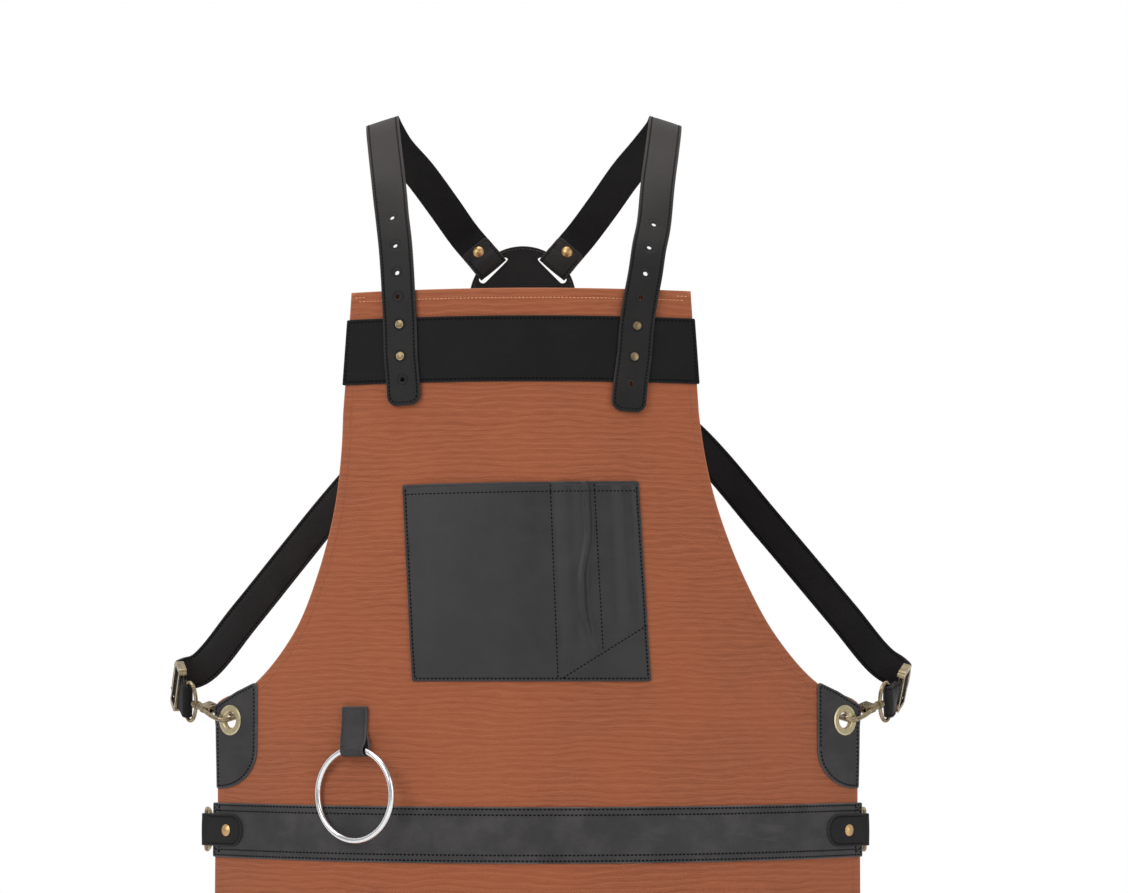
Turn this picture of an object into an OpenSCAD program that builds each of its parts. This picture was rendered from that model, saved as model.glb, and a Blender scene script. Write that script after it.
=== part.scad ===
// Cross-back work apron in canvas and leather, in the shape it takes when worn.
// +X is the wearer's left, +Y runs from the front panel to the back, +Z is up.
// The origin is midway between the undersides of the two shoulder straps.

/* [Front panel] */
// radius the front panel wraps to round the wearer
body_r = 490; // [420:5:600]
// half width of the panel at the waist
waist_half = 322; // [280:1:380]
// drop from the shoulder to the lower hem
hem_drop = 1032; // [900:2:1200]
// thickness of the canvas
canvas_t = 1.2; // [0.8:0.1:2]
// middle of the bib, from the middle of the shoulders
chest_x = -2; // [-20:1:20]
// middle of the waist, from the middle of the shoulders
waist_x = 14; // [-20:1:30]

/* [Leather trim] */
// thickness of the sewn leather
leather_t = 2; // [1.2:0.1:3]
// height of the chest band
chest_band_h = 64; // [40:1:90]
// height of the waist band
waist_band_h = 54; // [35:1:70]
// clear depth inside the chest pocket
pocket_depth = 6; // [4.4:0.2:12]

/* [Straps] */
// width of all four straps
strap_w = 34; // [25:1:45]
// thickness of the straps
strap_t = 3; // [2:0.1:4]
// punched hole across the shoulder straps
strap_hole_d = 4.6; // [4.4:0.1:6]
// radius of the back disc
disc_r = 56; // [50:1:75]
// thickness of the back disc
disc_t = 3; // [2:0.1:4]
// how far the back disc sits behind the front panel
disc_y = 235; // [200:1:300]

/* [Metal fittings] */
// clear hole through the side grommets
grommet_hole_d = 17; // [15:0.5:22]
// outside of the grommet flanges
grommet_d = 30; // [26:0.5:40]
// wire of the hook claws
claw_wire = 4.5; // [3.5:0.1:5]
// wire of the strap eyes
eye_wire = 4; // [3:0.1:5]
// wire of the waist rings
d_wire = 4; // [3:0.1:5]
// outside of the towel ring
towel_ring_d = 94; // [80:1:120]
// wire of the towel ring
towel_wire = 6; // [4:0.5:8]

/* [Hidden] */
$fn = 64;
// depth of the shoulders behind the front of the panel
shoulder_y = 103;
strap_half = strap_w / 2;

// levels down the front
chest_top = -208;
corner_z = -584;
waist_top = -681;
waist_low = waist_top - waist_band_h;

// each row is a level and the half width of the panel there
armhole = [[-181, 166], [-272, 172], [-342, 178], [-400, 189], [-458, 208], [-516, 238], [-563, 279]];

// what goes where on the body
grommet_x = waist_half - 17.5;
grommet_z = -599;
rivet_x = waist_half - 15;
towel_x = -161.5;
towel_top = -585;

// ---- small helpers ----

function unit(v) = v / norm(v);
function xyz(p) = [p[0], p[1], p[2]];
function wide(p) = [p[3], p[4], p[5]];

// a smooth curve through points, as Catmull and Rom draw it
function crp(a, b, c, d, t) =
    0.5 * (2 * b + (c - a) * t + (2 * a - 5 * b + 4 * c - d) * t * t + (3 * b - a - 3 * c + d) * t * t * t);
function curve(p, k) =
    [for (i = [1 : len(p) - 3]) for (j = [0 : k - 1]) crp(p[i - 1], p[i], p[i + 1], p[i + 2], j / k)];

// brings the shoulders over the origin
module seat() {
    translate([0, -shoulder_y, 0])
        children();
}

// places a part with its own three axes
module at(o, ex, ey, ez) {
    multmatrix([
        [ex[0], ey[0], ez[0], o[0]],
        [ex[1], ey[1], ez[1], o[1]],
        [ex[2], ey[2], ez[2], o[2]],
        [0, 0, 0, 1]
    ])
        children();
}

// a tube of any outline swept along a path of [x, y, z, width direction, outline scale]
function heading(p, i) =
    i == 0 ? unit(xyz(p[1]) - xyz(p[0]))
    : i == len(p) - 1 ? unit(xyz(p[i]) - xyz(p[i - 1]))
    : unit(unit(xyz(p[i + 1]) - xyz(p[i])) + unit(xyz(p[i]) - xyz(p[i - 1])));
function across(p, i) = let (t = heading(p, i), w = wide(p[i])) unit(w - (w * t) * t);

module sweep(p, outline) {
    n = len(outline);
    m = len(p);
    points = [
        for (i = [0 : m - 1])
            let (w = across(p, i), q = cross(w, heading(p, i)))
                for (o = outline) xyz(p[i]) + w * o[0] * p[i][6] + q * o[1]
    ];
    cap_a = [for (k = [1 : n - 2]) [0, k + 1, k]];
    cap_b = [for (k = [1 : n - 2]) [(m - 1) * n, (m - 1) * n + k, (m - 1) * n + k + 1]];
    side_a = [for (i = [0 : m - 2]) for (k = [0 : n - 1]) [i * n + k, i * n + (k + 1) % n, (i + 1) * n + k]];
    side_b = [
        for (i = [0 : m - 2])
            for (k = [0 : n - 1]) [i * n + (k + 1) % n, (i + 1) * n + (k + 1) % n, (i + 1) * n + k]
    ];
    polyhedron(points = points, faces = concat(cap_a, cap_b, side_a, side_b), convexity = 10);
}

// a closed ring of round wire through flat points [a, b], in the plane of the first two axes
module wire_ring(p, r) {
    n = 12;
    m = len(p);
    function dir(i) =
        let (a = unit(p[(i + 1) % m] - p[i]), b = unit(p[i] - p[(i + m - 1) % m])) unit(a + b);
    points = [
        for (i = [0 : m - 1])
            for (k = [0 : n - 1])
                let (d = dir(i), c = r * cos(k * 360 / n), h = r * sin(k * 360 / n))
                    [p[i][0] + d[1] * c, p[i][1] - d[0] * c, h]
    ];
    side_a = [for (i = [0 : m - 1]) for (k = [0 : n - 1]) [i * n + k, i * n + (k + 1) % n, ((i + 1) % m) * n + k]];
    side_b = [
        for (i = [0 : m - 1])
            for (k = [0 : n - 1])
                [i * n + (k + 1) % n, ((i + 1) % m) * n + (k + 1) % n, ((i + 1) % m) * n + k]
    ];
    polyhedron(points = points, faces = concat(side_a, side_b), convexity = 10);
}

// ---- the wrapped front ----

function body_y(x, out) = body_r - sqrt(pow(body_r + out, 2) - pow(x - waist_x, 2));
function body_a(x) = asin((x - waist_x) / body_r);

// a layer of cloth or leather between two radii, cut to the outline given
module layer(inner, outer) {
    intersection() {
        translate([waist_x, body_r, -hem_drop - 10])
            difference() {
                cylinder(r = body_r + outer, h = hem_drop, $fn = 240);
                translate([0, 0, -5])
                    cylinder(r = body_r + inner, h = hem_drop + 10, $fn = 240);
            }
        translate([0, body_r * 0.6, 0])
            rotate([90, 0, 0])
                linear_extrude(height = body_r * 0.6 + 40)
                    children();
    }
}

// the panel leans a little from the chest to the waist
function mid_x(z) = chest_x + (waist_x - chest_x) * min(1, max(0, (-300 - z) / 280));

widen = waist_half / 322;
arm_rows = curve(concat([[-130, 163]], armhole, [[corner_z, 322]], [[-620, 322]]), 3);
arm_pts = concat([for (r = arm_rows) [r[0], r[1] * widen]], [[corner_z, waist_half]]);

module panel_outline() {
    right = [for (r = arm_pts) [mid_x(r[0]) + r[1], r[0]]];
    left = [for (i = [len(arm_pts) - 1 : -1 : 0]) [mid_x(arm_pts[i][0]) - arm_pts[i][1], arm_pts[i][0]]];
    low = [
        [waist_x + waist_half - 3, corner_z - 22],
        [waist_x + waist_half - 3, waist_top],
        [waist_x + waist_half, waist_low],
        [waist_x + waist_half, -hem_drop + 12],
        [waist_x + waist_half - 12, -hem_drop],
        [waist_x - waist_half + 12, -hem_drop],
        [waist_x - waist_half, -hem_drop + 12],
        [waist_x - waist_half, waist_low],
        [waist_x - waist_half + 3, waist_top],
        [waist_x - waist_half + 3, corner_z - 22]
    ];
    polygon(concat(right, low, left));
}

// straight hole out through every layer at one place on the front
module front_hole(x, z, d) {
    at([x, body_y(x, 0), z], side_t(x), [0, 0, 1], side_n(x))
        cylinder(d = d, h = 40, center = true);
}

function side_n(x) = [sin(body_a(x)), -cos(body_a(x)), 0];
function side_t(x) = [cos(body_a(x)), sin(body_a(x)), 0];

module canvas_panel() {
    color("#a4542f")
        seat()
        difference() {
            layer(-canvas_t, 0)
                panel_outline();
            front_holes();
        }
}

module front_holes() {
    for (s = [-1, 1]) {
        for (k = [4, 5])
            front_hole(hole_pts(s)[k][0], hole_pts(s)[k][1], 4);
        front_hole(waist_x + s * grommet_x, grommet_z, grommet_hole_d + 1.6);
        front_hole(waist_x + s * rivet_x, waist_mid, 3);
    }
}

waist_mid = (waist_top + waist_low) / 2;

module chest_band() {
    color("#2a2829")
        seat()
        difference() {
            layer(0, leather_t)
                polygon([
                    [chest_x - 169.5 * widen, chest_top],
                    [chest_x + 169.5 * widen, chest_top],
                    [chest_x + 174 * widen, chest_top - chest_band_h],
                    [chest_x - 174 * widen, chest_top - chest_band_h]
                ]);
            front_holes();
        }
}

module waist_band() {
    color("#2a2829")
        seat()
        difference() {
            layer(0, leather_t)
                translate([waist_x - waist_half - 1, waist_low])
                    square([2 * waist_half + 2, waist_band_h]);
            front_holes();
        }
}

module side_patch(s) {
    inner = waist_half - 46;
    round_r = 40;
    color("#2a2829")
        seat()
        difference() {
            layer(0, leather_t)
                polygon(concat(
                    [
                        [waist_x + s * inner, corner_z + 23.5],
                        [waist_x + s * (inner + 22), corner_z + 13.5],
                        [waist_x + s * (waist_half + 1), corner_z - 1],
                        [waist_x + s * (waist_half - 2), corner_z - 24],
                        [waist_x + s * (waist_half - 2), -667]
                    ],
                    [for (a = [0 : 10 : 90]) [
                        waist_x + s * (inner + round_r * (1 - sin(a))),
                        -667 + round_r * (1 - cos(a))
                    ]]
                ));
            front_holes();
        }
}

// ---- chest pocket, with a wide part and two narrow ones ----

pocket_wall = 1.6;
pocket_top = -371;
pocket_low = -561;
seam_a = [27, 37];
seam_b = [69, 78];

module pocket_outline(inset) {
    polygon([
        [-116 + inset, pocket_top + inset * 2],
        [112 - inset, pocket_top + inset * 2],
        [124 - inset, pocket_low + inset],
        [-106 + inset, pocket_low + inset]
    ]);
}

module pocket_room() {
    difference() {
        pocket_outline(4);
        for (q = [seam_a, seam_b])
            polygon([
                [q[0] - 2, pocket_top + 20],
                [q[0] + 2, pocket_top + 20],
                [q[1] + 2, pocket_low - 10],
                [q[1] - 2, pocket_low - 10]
            ]);
    }
}

module pocket() {
    color("#333132")
        seat()
        difference() {
            layer(0, pocket_depth + pocket_wall)
                pocket_outline(0);
            layer(-0.5, pocket_depth)
                pocket_room();
        }
}

// ---- loop and ring for a towel ----

loop_w = 27;
loop_t = 2;
loop_bore = (towel_wire + 3) / 2;
loop_out = 14;
loop_turn = 32.5;
loop_z = -627;
loop_c = [towel_x, body_y(towel_x, 0) - loop_out, loop_z];
ring_t = [cos(loop_turn), -sin(loop_turn), 0];
ring_n = [-sin(loop_turn), -cos(loop_turn), 0];
ring_r = (towel_ring_d - towel_wire) / 2;

module ring_loop() {
    t = side_t(towel_x);
    n = side_n(towel_x);
    o = [towel_x, body_y(towel_x, 0), 0];
    r = loop_bore + loop_t / 2;
    low = loop_z;
    front = [
        for (q = [[towel_top, 3.3], [-598, 3.3], [-611, 5.2]]) concat(o + n * q[1] + [0, 0, q[0]], t, [1])
    ];
    turn = [
        for (a = [-50 : 23 : 180])
            concat(loop_c + ring_n * r * cos(a) + [0, 0, -r * sin(a)], ring_t, [1])
    ];
    back = [
        for (q = [[-611, 2.7], [-598, 1.15], [towel_top, 1.1]]) concat(o + n * q[1] + [0, 0, q[0]], t, [1])
    ];
    color("#2a2829")
        seat()
        sweep(concat(front, turn, back), [
            [-loop_w / 2, -loop_t / 2],
            [loop_w / 2, -loop_t / 2],
            [loop_w / 2, loop_t / 2],
            [-loop_w / 2, loop_t / 2]
        ]);
}

module towel_ring() {
    drop = ring_r - (ring_r - sqrt(ring_r * ring_r - loop_w * loop_w / 4)) / 2;
    color("#d9dadb")
        seat()
        at(loop_c - [0, 0, drop], ring_t, [0, 0, 1], ring_n)
            rotate_extrude()
                translate([ring_r, 0])
                    circle(d = towel_wire);
}

// ---- shoulder straps ----

// each row is the place of one punched hole down the front, and the foot comes last
function hole_pts(s) =
    s < 0
        ? [[-127.5, -106], [-123.5, -136], [-121, -164], [-119.5, -188], [-118, -215], [-117, -246], [-115, -269]]
        : [[127.5, -114], [122.5, -139], [118.5, -166], [114, -190], [110, -217.5], [107.5, -247.5], [104, -274]];
function foot_pt(s) = s < 0 ? [-113.5, -294] : [101.5, -301];
strap_out = leather_t + strap_t / 2;
hole_lean = [40, 28, 20, 0];

function front_pt(s, x, z, back) =
    let (q = side_t(x), p = [x, body_y(x, 0), z] + side_n(x) * strap_out)
        [p[0], p[1] + back, z, q[0], q[1], 0, 1];

function foot_rows(s) =
    let (f = foot_pt(s), h = hole_pts(s)[6], d = unit([h[0] - f[0], h[1] - f[1]]))
        [
            for (q = [[0, 7], [1, 11.4], [3, 14.2], [6, 16.2]])
                let (r = front_pt(s, f[0] + d[0] * q[0], f[1] + d[1] * q[0], 0))
                    [r[0], r[1], r[2], r[3], r[4], 0, q[1] / 17]
        ];

function front_rows(s) =
    let (h = hole_pts(s), f = foot_pt(s), d = unit([h[6][0] - f[0], h[6][1] - f[1]]))
        concat(
            [front_pt(s, f[0] + d[0] * 10, f[1] + d[1] * 10, 0)],
            [for (k = [6 : -1 : 3]) front_pt(s, h[k][0], h[k][1], 0)],
            [front_pt(s, h[2][0], h[2][1], 3)],
            [front_pt(s, h[1][0], h[1][1], 12)],
            [front_pt(s, h[0][0], h[0][1], 26)]
        );

shoulder_x = 142;
lift = strap_t / 2;

function over_rows(s) = [
    [s * 133, 58, -70, 0.97, 0.02, -s * 0.15, 1],
    [s * 138.5, 80, -30, 0.96, 0, -s * 0.26, 1],
    [s * 141.5, 93, -6, 0.95, 0, -s * 0.31, 1],
    [s * shoulder_x, shoulder_y, lift, 0.95, 0, -s * 0.31, 1],
    [s * 139, 114, -4, 0.94, 0, -s * 0.34, 1],
    [s * 127 + chest_x, 136, -19, 0.90, 0, -s * 0.43, 1],
    [s * 106 + chest_x, 168, -39, 0.86, 0, -s * 0.50, 1],
    [s * 83 + chest_x, 205, -66, 0.83, 0, -s * 0.56, 1]
];

// ---- back disc and how a strap turns round a slot in it ----

disc_c = [chest_x - 1, disc_y, -159];
slot_w = 9;
slot_l = strap_w + 4;
slot_at = disc_r - 13;
turn_r = disc_t / 2 + 0.2 + strap_t / 2;
flat_r = strap_t / 2 + 0.15;
high_a = 40;
function low_a(s) = s < 0 ? 41 : 50;
function slot_c(s, up) =
    let (a = up > 0 ? 45 : low_a(s)) disc_c + slot_at * [s * sin(a), 0, up * cos(a)];
function slot_u(s, up) = let (a = up > 0 ? high_a : low_a(s)) [s * sin(a), 0, up * cos(a)];
function slot_v(s, up) = let (u = slot_u(s, up)) up > 0 ? [u[2], 0, -u[0]] : [-u[2] * s, 0, u[0] * s];

function slot_pt(s, up, k, q) = concat(slot_c(s, up) + slot_u(s, up) * k + [0, q, 0], slot_v(s, up), [1]);

// from the strap, round the slot's outer edge, and back as a short tab
function slot_rows(s, up) = concat(
    [
        slot_pt(s, up, 48, flat_r),
        slot_pt(s, up, 30, flat_r),
        slot_pt(s, up, 19, flat_r),
        slot_pt(s, up, 14.8, turn_r),
        slot_pt(s, up, 9, turn_r)
    ],
    [for (a = [90 : 22.5 : 270]) slot_pt(s, up, slot_w / 2 + turn_r * cos(a), turn_r * sin(a))],
    [
        slot_pt(s, up, 9, -turn_r),
        slot_pt(s, up, 14.8, -turn_r),
        slot_pt(s, up, 19, -flat_r),
        slot_pt(s, up, 33, -flat_r)
    ]
);

rivet_k = 25;

module strap_outline_sweep(rows) {
    sweep(rows, [
        [-strap_half, -strap_t / 2],
        [strap_half, -strap_t / 2],
        [strap_half, strap_t / 2],
        [-strap_half, strap_t / 2]
    ]);
}

module slot_rivet_hole(s, up) {
    p = slot_pt(s, up, rivet_k, 0);
    translate(xyz(p))
        rotate([90, 0, 0])
            cylinder(d = 3, h = 20, center = true);
}

function shoulder_rows(s) =
    let (
        up = concat(front_rows(s), over_rows(s)),
        disc = slot_rows(s, 1),
        ends = concat([foot_rows(s)[3]], up, [disc[0], disc[1]])
    )
        concat(foot_rows(s), curve(ends, 2), disc);

module shoulder_strap(s) {
    rows = front_rows(s);
    color("#262425")
        seat()
        difference() {
            strap_outline_sweep(shoulder_rows(s));
            for (k = [1 : 7])
                at(xyz(rows[k]), across(rows, k), heading(rows, k), cross(across(rows, k), heading(rows, k)))
                    cylinder(d = strap_hole_d, h = 12, center = true);
            slot_rivet_hole(s, 1);
        }
}

module slot_shape(l, w) {
    square([l - w, w], center = true);
    for (q = [-1, 1])
        translate([q * (l - w) / 2, 0])
            circle(d = w);
}

module back_disc() {
    color("#2a2829")
        seat()
        difference() {
            translate(disc_c)
                rotate([90, 0, 0])
                    cylinder(r = disc_r, h = disc_t, center = true);
            for (s = [-1, 1])
                for (up = [-1, 1])
                    at(slot_c(s, up), slot_v(s, up), cross([0, -1, 0], slot_v(s, up)), [0, -1, 0])
                        linear_extrude(height = 20, center = true)
                            slot_shape(slot_l, slot_w);
        }
}

// ---- side fittings: grommet, snap hook, eye and slider ----

function g_x(s) = waist_x + s * grommet_x;
function g_c(s) = [g_x(s), body_y(g_x(s), 0), grommet_z];
function g_n(s) = [s * sin(abs(body_a(g_x(s)))), -cos(body_a(g_x(s))), 0];
function g_t(s) = [s * cos(body_a(g_x(s))), sin(abs(body_a(g_x(s)))), 0];

rise = 17;
roll = 15;
function h_u(s) = g_t(s) * cos(rise) + [0, 0, sin(rise)];
function h_v0(s) = [0, 0, cos(rise)] - g_t(s) * sin(rise);
function h_v(s) = h_v0(s) * cos(roll) + g_n(s) * sin(roll);
function h_w(s) = g_n(s) * cos(roll) - h_v0(s) * sin(roll);

// hook axes: first along the hook away from the grommet, third towards its front branch
module hook_frame(s) {
    at(g_c(s), h_u(s), s * h_v(s), h_w(s))
        children();
}

module grommet(s) {
    r = grommet_hole_d / 2;
    color("#9a8350")
        seat()
        at(g_c(s), g_t(s), s * [0, 0, 1], g_n(s))
            rotate_extrude()
                polygon([
                    [r, -canvas_t - 1.4],
                    [r + 0.8, -canvas_t - 1.4],
                    [r + 0.8, leather_t],
                    [grommet_d / 2, leather_t],
                    [grommet_d / 2, leather_t + 0.4],
                    [grommet_d / 2 - 1.5, leather_t + 0.9],
                    [r + 1.2, leather_t + 1],
                    [r, leather_t + 0.5]
                ]);
}

module washer(s) {
    r = grommet_hole_d / 2 + 0.8;
    color("#9a8350")
        seat()
        at(g_c(s), g_t(s), s * [0, 0, 1], g_n(s))
            rotate_extrude()
                polygon([
                    [r, -canvas_t - 0.3],
                    [grommet_d / 2, -canvas_t - 0.3],
                    [grommet_d / 2 - 0.6, -canvas_t - 1.1],
                    [r, -canvas_t - 1.2]
                ]);
}

bar_u = 66;
eye_half = strap_half + 1.5 + eye_wire / 2;
collar_a = 49.5;
collar_b = 55;

module eye(s) {
    corner = 4;
    pts = concat(
        [for (a = [0 : 15 : 90]) [bar_u - corner + corner * cos(a), eye_half - corner + corner * sin(a)]],
        [for (a = [10 : 10 : 170]) [bar_u - corner - 9 * sin(a), eye_half * cos(a)]],
        [for (a = [270 : 15 : 360]) [bar_u - corner + corner * cos(a), -eye_half + corner + corner * sin(a)]]
    );
    color("#9a8350")
        seat()
        hook_frame(s)
            difference() {
                union() {
                    wire_ring(pts, eye_wire / 2);
                    translate([collar_a, 0, 0])
                        rotate([0, 90, 0])
                            cylinder(r = 4.2, h = collar_b - collar_a);
                }
                translate([collar_a - 5, 0, 0])
                    rotate([0, 90, 0])
                        cylinder(r = 2.2, h = 20);
            }
}

claw_tip_u = 3;
claw_round = 9;
pin_u = 36;
pin_w = -7;

function claw_row(u, w) = [u, 0, w, 0, 1, 0, 1];
claw_path = concat(
    [claw_row(44, 1), claw_row(38, 3), claw_row(30, 6), claw_row(22, 8), claw_row(16, 8.5)],
    [for (a = [90 : 15 : 180]) claw_row(claw_tip_u + claw_round * (1 + cos(a)), -0.5 + claw_round * sin(a))],
    [claw_row(claw_tip_u, -6), claw_row(claw_tip_u, -10.5)]
);

module claw(s) {
    r = claw_wire / 2;
    color("#9a8350")
        seat()
        hook_frame(s)
            union() {
                sweep(claw_path, [for (a = [0 : 30 : 330]) [r * cos(a), r * sin(a)]]);
                translate([41, 0, 0])
                    rotate([0, 90, 0])
                        cylinder(r = 3.8, h = collar_a - 41.2);
                translate([44, 0, 0])
                    rotate([0, 90, 0])
                        cylinder(r = 2.12, h = collar_b + 1.7 - 44);
                translate([collar_b + 0.3, 0, 0])
                    rotate([0, 90, 0])
                        cylinder(r = 3.2, h = 1.6);
                difference() {
                    translate([31.5, -4, -10.5])
                        cube([12.5, 8, 13.5]);
                    translate([20, -2.2, -20])
                        cube([20, 4.4, 21]);
                    translate([pin_u, 0, pin_w])
                        rotate([90, 0, 0])
                            cylinder(r = 1, h = 20, center = true);
                }
            }
}

module gate(s) {
    end_u = claw_tip_u + claw_wire / 2 + 0.35;
    color("#a8935f")
        seat()
        hook_frame(s)
            difference() {
                union() {
                    translate([pin_u, -0.35, pin_w])
                        rotate([90, 0, 0])
                            cylinder(r = 2.8, h = 2.9, center = true);
                    translate([end_u, -1.8, pin_w - 3])
                        cube([pin_u - end_u, 2.9, 2.6]);
                    translate([end_u + 14, -1.8, pin_w - 4.5])
                        cube([6, 2.9, 2]);
                }
                translate([pin_u, 0, pin_w])
                    rotate([90, 0, 0])
                        cylinder(r = 1.07, h = 20, center = true);
            }
}

module gate_pin(s) {
    color("#b5a06a")
        seat()
        hook_frame(s)
            translate([pin_u, 0, pin_w])
                rotate([90, 0, 0]) {
                    cylinder(r = 1, h = 8.8, center = true);
                    for (q = [-1, 1])
                        translate([0, 0, q * 4.4])
                            cylinder(r = 1.7, h = 0.8, center = true);
                }
}

module gate_spring(s) {
    color("#c8c8c4")
        seat()
        hook_frame(s)
            translate([pin_u, 1.6, pin_w])
                rotate([90, 0, 0])
                    rotate_extrude()
                        translate([1.8, 0])
                            circle(r = 0.4, $fn = 24);
}

// where the strap leaves the eye, and the slider on it
function run_t(s) = unit(s < 0 ? [-0.30, 0.80, 0.52] : [0.42, 0.76, 0.50]);
function run_w(s) = let (t = run_t(s), w = [0.16, -0.45, 0.88]) unit(w - (w * t) * t);
function run_n(s) = s * cross(run_t(s), run_w(s));
function bar_c(s) = g_c(s) + h_u(s) * bar_u;
eye_turn = eye_wire / 2 + 0.3 + strap_t / 2;
slider_k = 28;
function run_pt(s, k, q) = concat(bar_c(s) + run_t(s) * k + run_n(s) * q, run_w(s), [1]);
// the fold round the eye bar is square to the bar, so it turns a little from the run
function fold_t(s) = unit(run_t(s) - (run_t(s) * h_v(s)) * h_v(s));
function fold_n(s) = s * cross(fold_t(s), h_v(s));
function bar_pt(s, k, q) = concat(bar_c(s) + fold_t(s) * k + fold_n(s) * q, h_v(s), [1]);

function fall_rows(s) =
    s < 0
        ? [
            [-120, 236, -285, -0.755, 0, 0.656, 1],
            [-194, 228, -370, -0.755, 0, 0.656, 1],
            [-242, 220, -431, -0.755, 0, 0.656, 1],
            [-290, 211, -493, -0.74, 0, 0.67, 1],
            [-334, 203, -547, -0.72, -0.02, 0.69, 1]
        ]
        : [
            [102, 237, -246, 0.643, 0, 0.766, 1],
            [176, 230, -308, 0.67, 0, 0.74, 1],
            [252, 220, -398, 0.755, 0, 0.656, 1],
            [329, 209, -492, 0.75, 0, 0.66, 1],
            [368, 202, -540, 0.70, -0.02, 0.72, 1]
        ];

function back_rows(s) =
    let (
        disc = slot_rows(s, -1),
        n = len(disc),
        tab = [for (i = [n - 1 : -1 : 0]) disc[i]],
        far = [run_pt(s, slider_k + 21, eye_turn), run_pt(s, slider_k + 10, eye_turn)],
        mid = curve(concat([disc[1], disc[0]], fall_rows(s), far), 3)
    )
        concat(
            [for (i = [0 : n - 2]) tab[i]],
            mid,
            [for (k = [slider_k + 21, slider_k + 17.5, 14]) run_pt(s, k, eye_turn)],
            [bar_pt(s, 5, eye_turn)],
            [for (a = [0 : 22.5 : 180]) bar_pt(s, -eye_turn * sin(a), eye_turn * cos(a))],
            [
                bar_pt(s, 5, -2),
                run_pt(s, 10, eye_turn - strap_t - 0.3),
                run_pt(s, 14, eye_turn - strap_t - 0.3)
            ]
        );

module back_strap(s) {
    color("#262425")
        seat()
        difference() {
            strap_outline_sweep(back_rows(s));
            slot_rivet_hole(s, -1);
        }
}

slider_l = 24;
slider_in = strap_w + 6;
slider_out = slider_in + 10;
bar_t = 2;

module plate(l, w, r) {
    square([l - 2 * r, w], center = true);
    square([l, w - 2 * r], center = true);
    for (a = [-1, 1])
        for (b = [-1, 1])
            translate([a * (l / 2 - r), b * (w / 2 - r)])
                circle(r = r);
}

module slider(s) {
    o = bar_c(s) + run_t(s) * slider_k + run_n(s) * eye_turn;
    high = strap_t + 0.6 + 2 * bar_t;
    lift_bar = strap_t / 2 + 0.3;
    color("#9a8350")
        seat()
        at(o, run_t(s), s * run_w(s), run_n(s))
            union() {
                difference() {
                    linear_extrude(height = high, center = true)
                        plate(slider_l, slider_out, 6);
                    linear_extrude(height = high + 2, center = true)
                        plate(slider_l + 30, slider_in, 1);
                }
                for (k = [-1, 1])
                    translate([k * (slider_l / 2 - 2.5) - 1.75, -slider_in / 2 - 1, lift_bar])
                        cube([3.5, slider_in + 2, bar_t]);
                translate([-1.75, -slider_in / 2 - 1, -lift_bar - bar_t])
                    cube([3.5, slider_in + 2, bar_t]);
            }
}

// ---- waist tabs and their rings ----

tab_h = 32;
tab_l = 53;
function tab_reach(s) = s < 0 ? 12 : 5.5;
function edge_a(s) = asin(waist_half / body_r);
function tab_end_a(s) = edge_a(s) + tab_reach(s) / body_r * 180 / PI;
tab_mid_r = body_r + leather_t + leather_t / 2;
ring_bore = d_wire / 2 + 0.3;
function ring_c(s) = [
    waist_x + s * (body_r + 1) * sin(tab_end_a(s)),
    body_r - (body_r + 1) * cos(tab_end_a(s)),
    waist_mid
];

// a strip of the tab, with a round inner end, in the flat of the front view
module tab_strip(s, a0, a1) {
    x0 = body_r * sin(a0);
    x1 = body_r * sin(a1);
    turn = tab_h / 2 * cos(a0);
    polygon(concat(
        [for (a = [-90 : 10 : 90]) [
            waist_x + s * (x0 + turn * (1 - cos(a))),
            waist_mid + tab_h / 2 * sin(a)
        ]],
        [[waist_x + s * x1, waist_mid + tab_h / 2], [waist_x + s * x1, waist_mid - tab_h / 2]]
    ));
}

module tab(s) {
    a1 = tab_end_a(s);
    a0 = a1 - tab_l / body_r * 180 / PI;
    in_a = a0 + 9 / body_r * 180 / PI;
    o = ring_c(s);
    color("#2a2829")
        seat()
        difference() {
            union() {
                layer(leather_t, 2 * leather_t)
                    tab_strip(s, a0, a1);
                layer(-canvas_t - leather_t, -canvas_t)
                    tab_strip(s, in_a, a1);
                translate([o[0], o[1], waist_mid - tab_h / 2])
                    cylinder(r = ring_bore + leather_t, h = tab_h);
            }
            translate([o[0], o[1], waist_mid - tab_h])
                cylinder(r = ring_bore, h = 2 * tab_h);
            front_hole(waist_x + s * rivet_x, waist_mid, 3);
        }
}

d_half = tab_h / 2 + 2.5 + d_wire / 2;
d_deep = 20;
d_turn = 100;

module d_ring(s) {
    o = ring_c(s);
    corner = 4;
    pts = concat(
        [for (a = [0 : 15 : 90]) [corner - corner * cos(a), d_half - corner + corner * sin(a)]],
        [for (a = [10 : 10 : 170]) [corner + (d_deep - corner) * sin(a), d_half * cos(a)]],
        [for (a = [270 : 15 : 360]) [corner - corner * cos(a), -d_half + corner + corner * sin(a)]]
    );
    color("#9a8350")
        seat()
        at(o, [s * cos(d_turn), sin(d_turn), 0], [0, 0, s], [s * sin(d_turn) * s * s, -cos(d_turn), 0])
            wire_ring(pts, d_wire / 2);
}

// ---- studs and rivets ----

module dome(d, h) {
    r = (d * d / 4 + h * h) / (2 * h);
    intersection() {
        translate([0, 0, h - r])
            sphere(r = r);
        cylinder(d = d, h = h);
    }
}

module stud_frame(s, k) {
    x = hole_pts(s)[k][0];
    at([x, body_y(x, 0), hole_pts(s)[k][1]], side_t(x), [0, 0, 1], side_n(x))
        children();
}

stud_top = leather_t + strap_t + 0.3;

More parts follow.
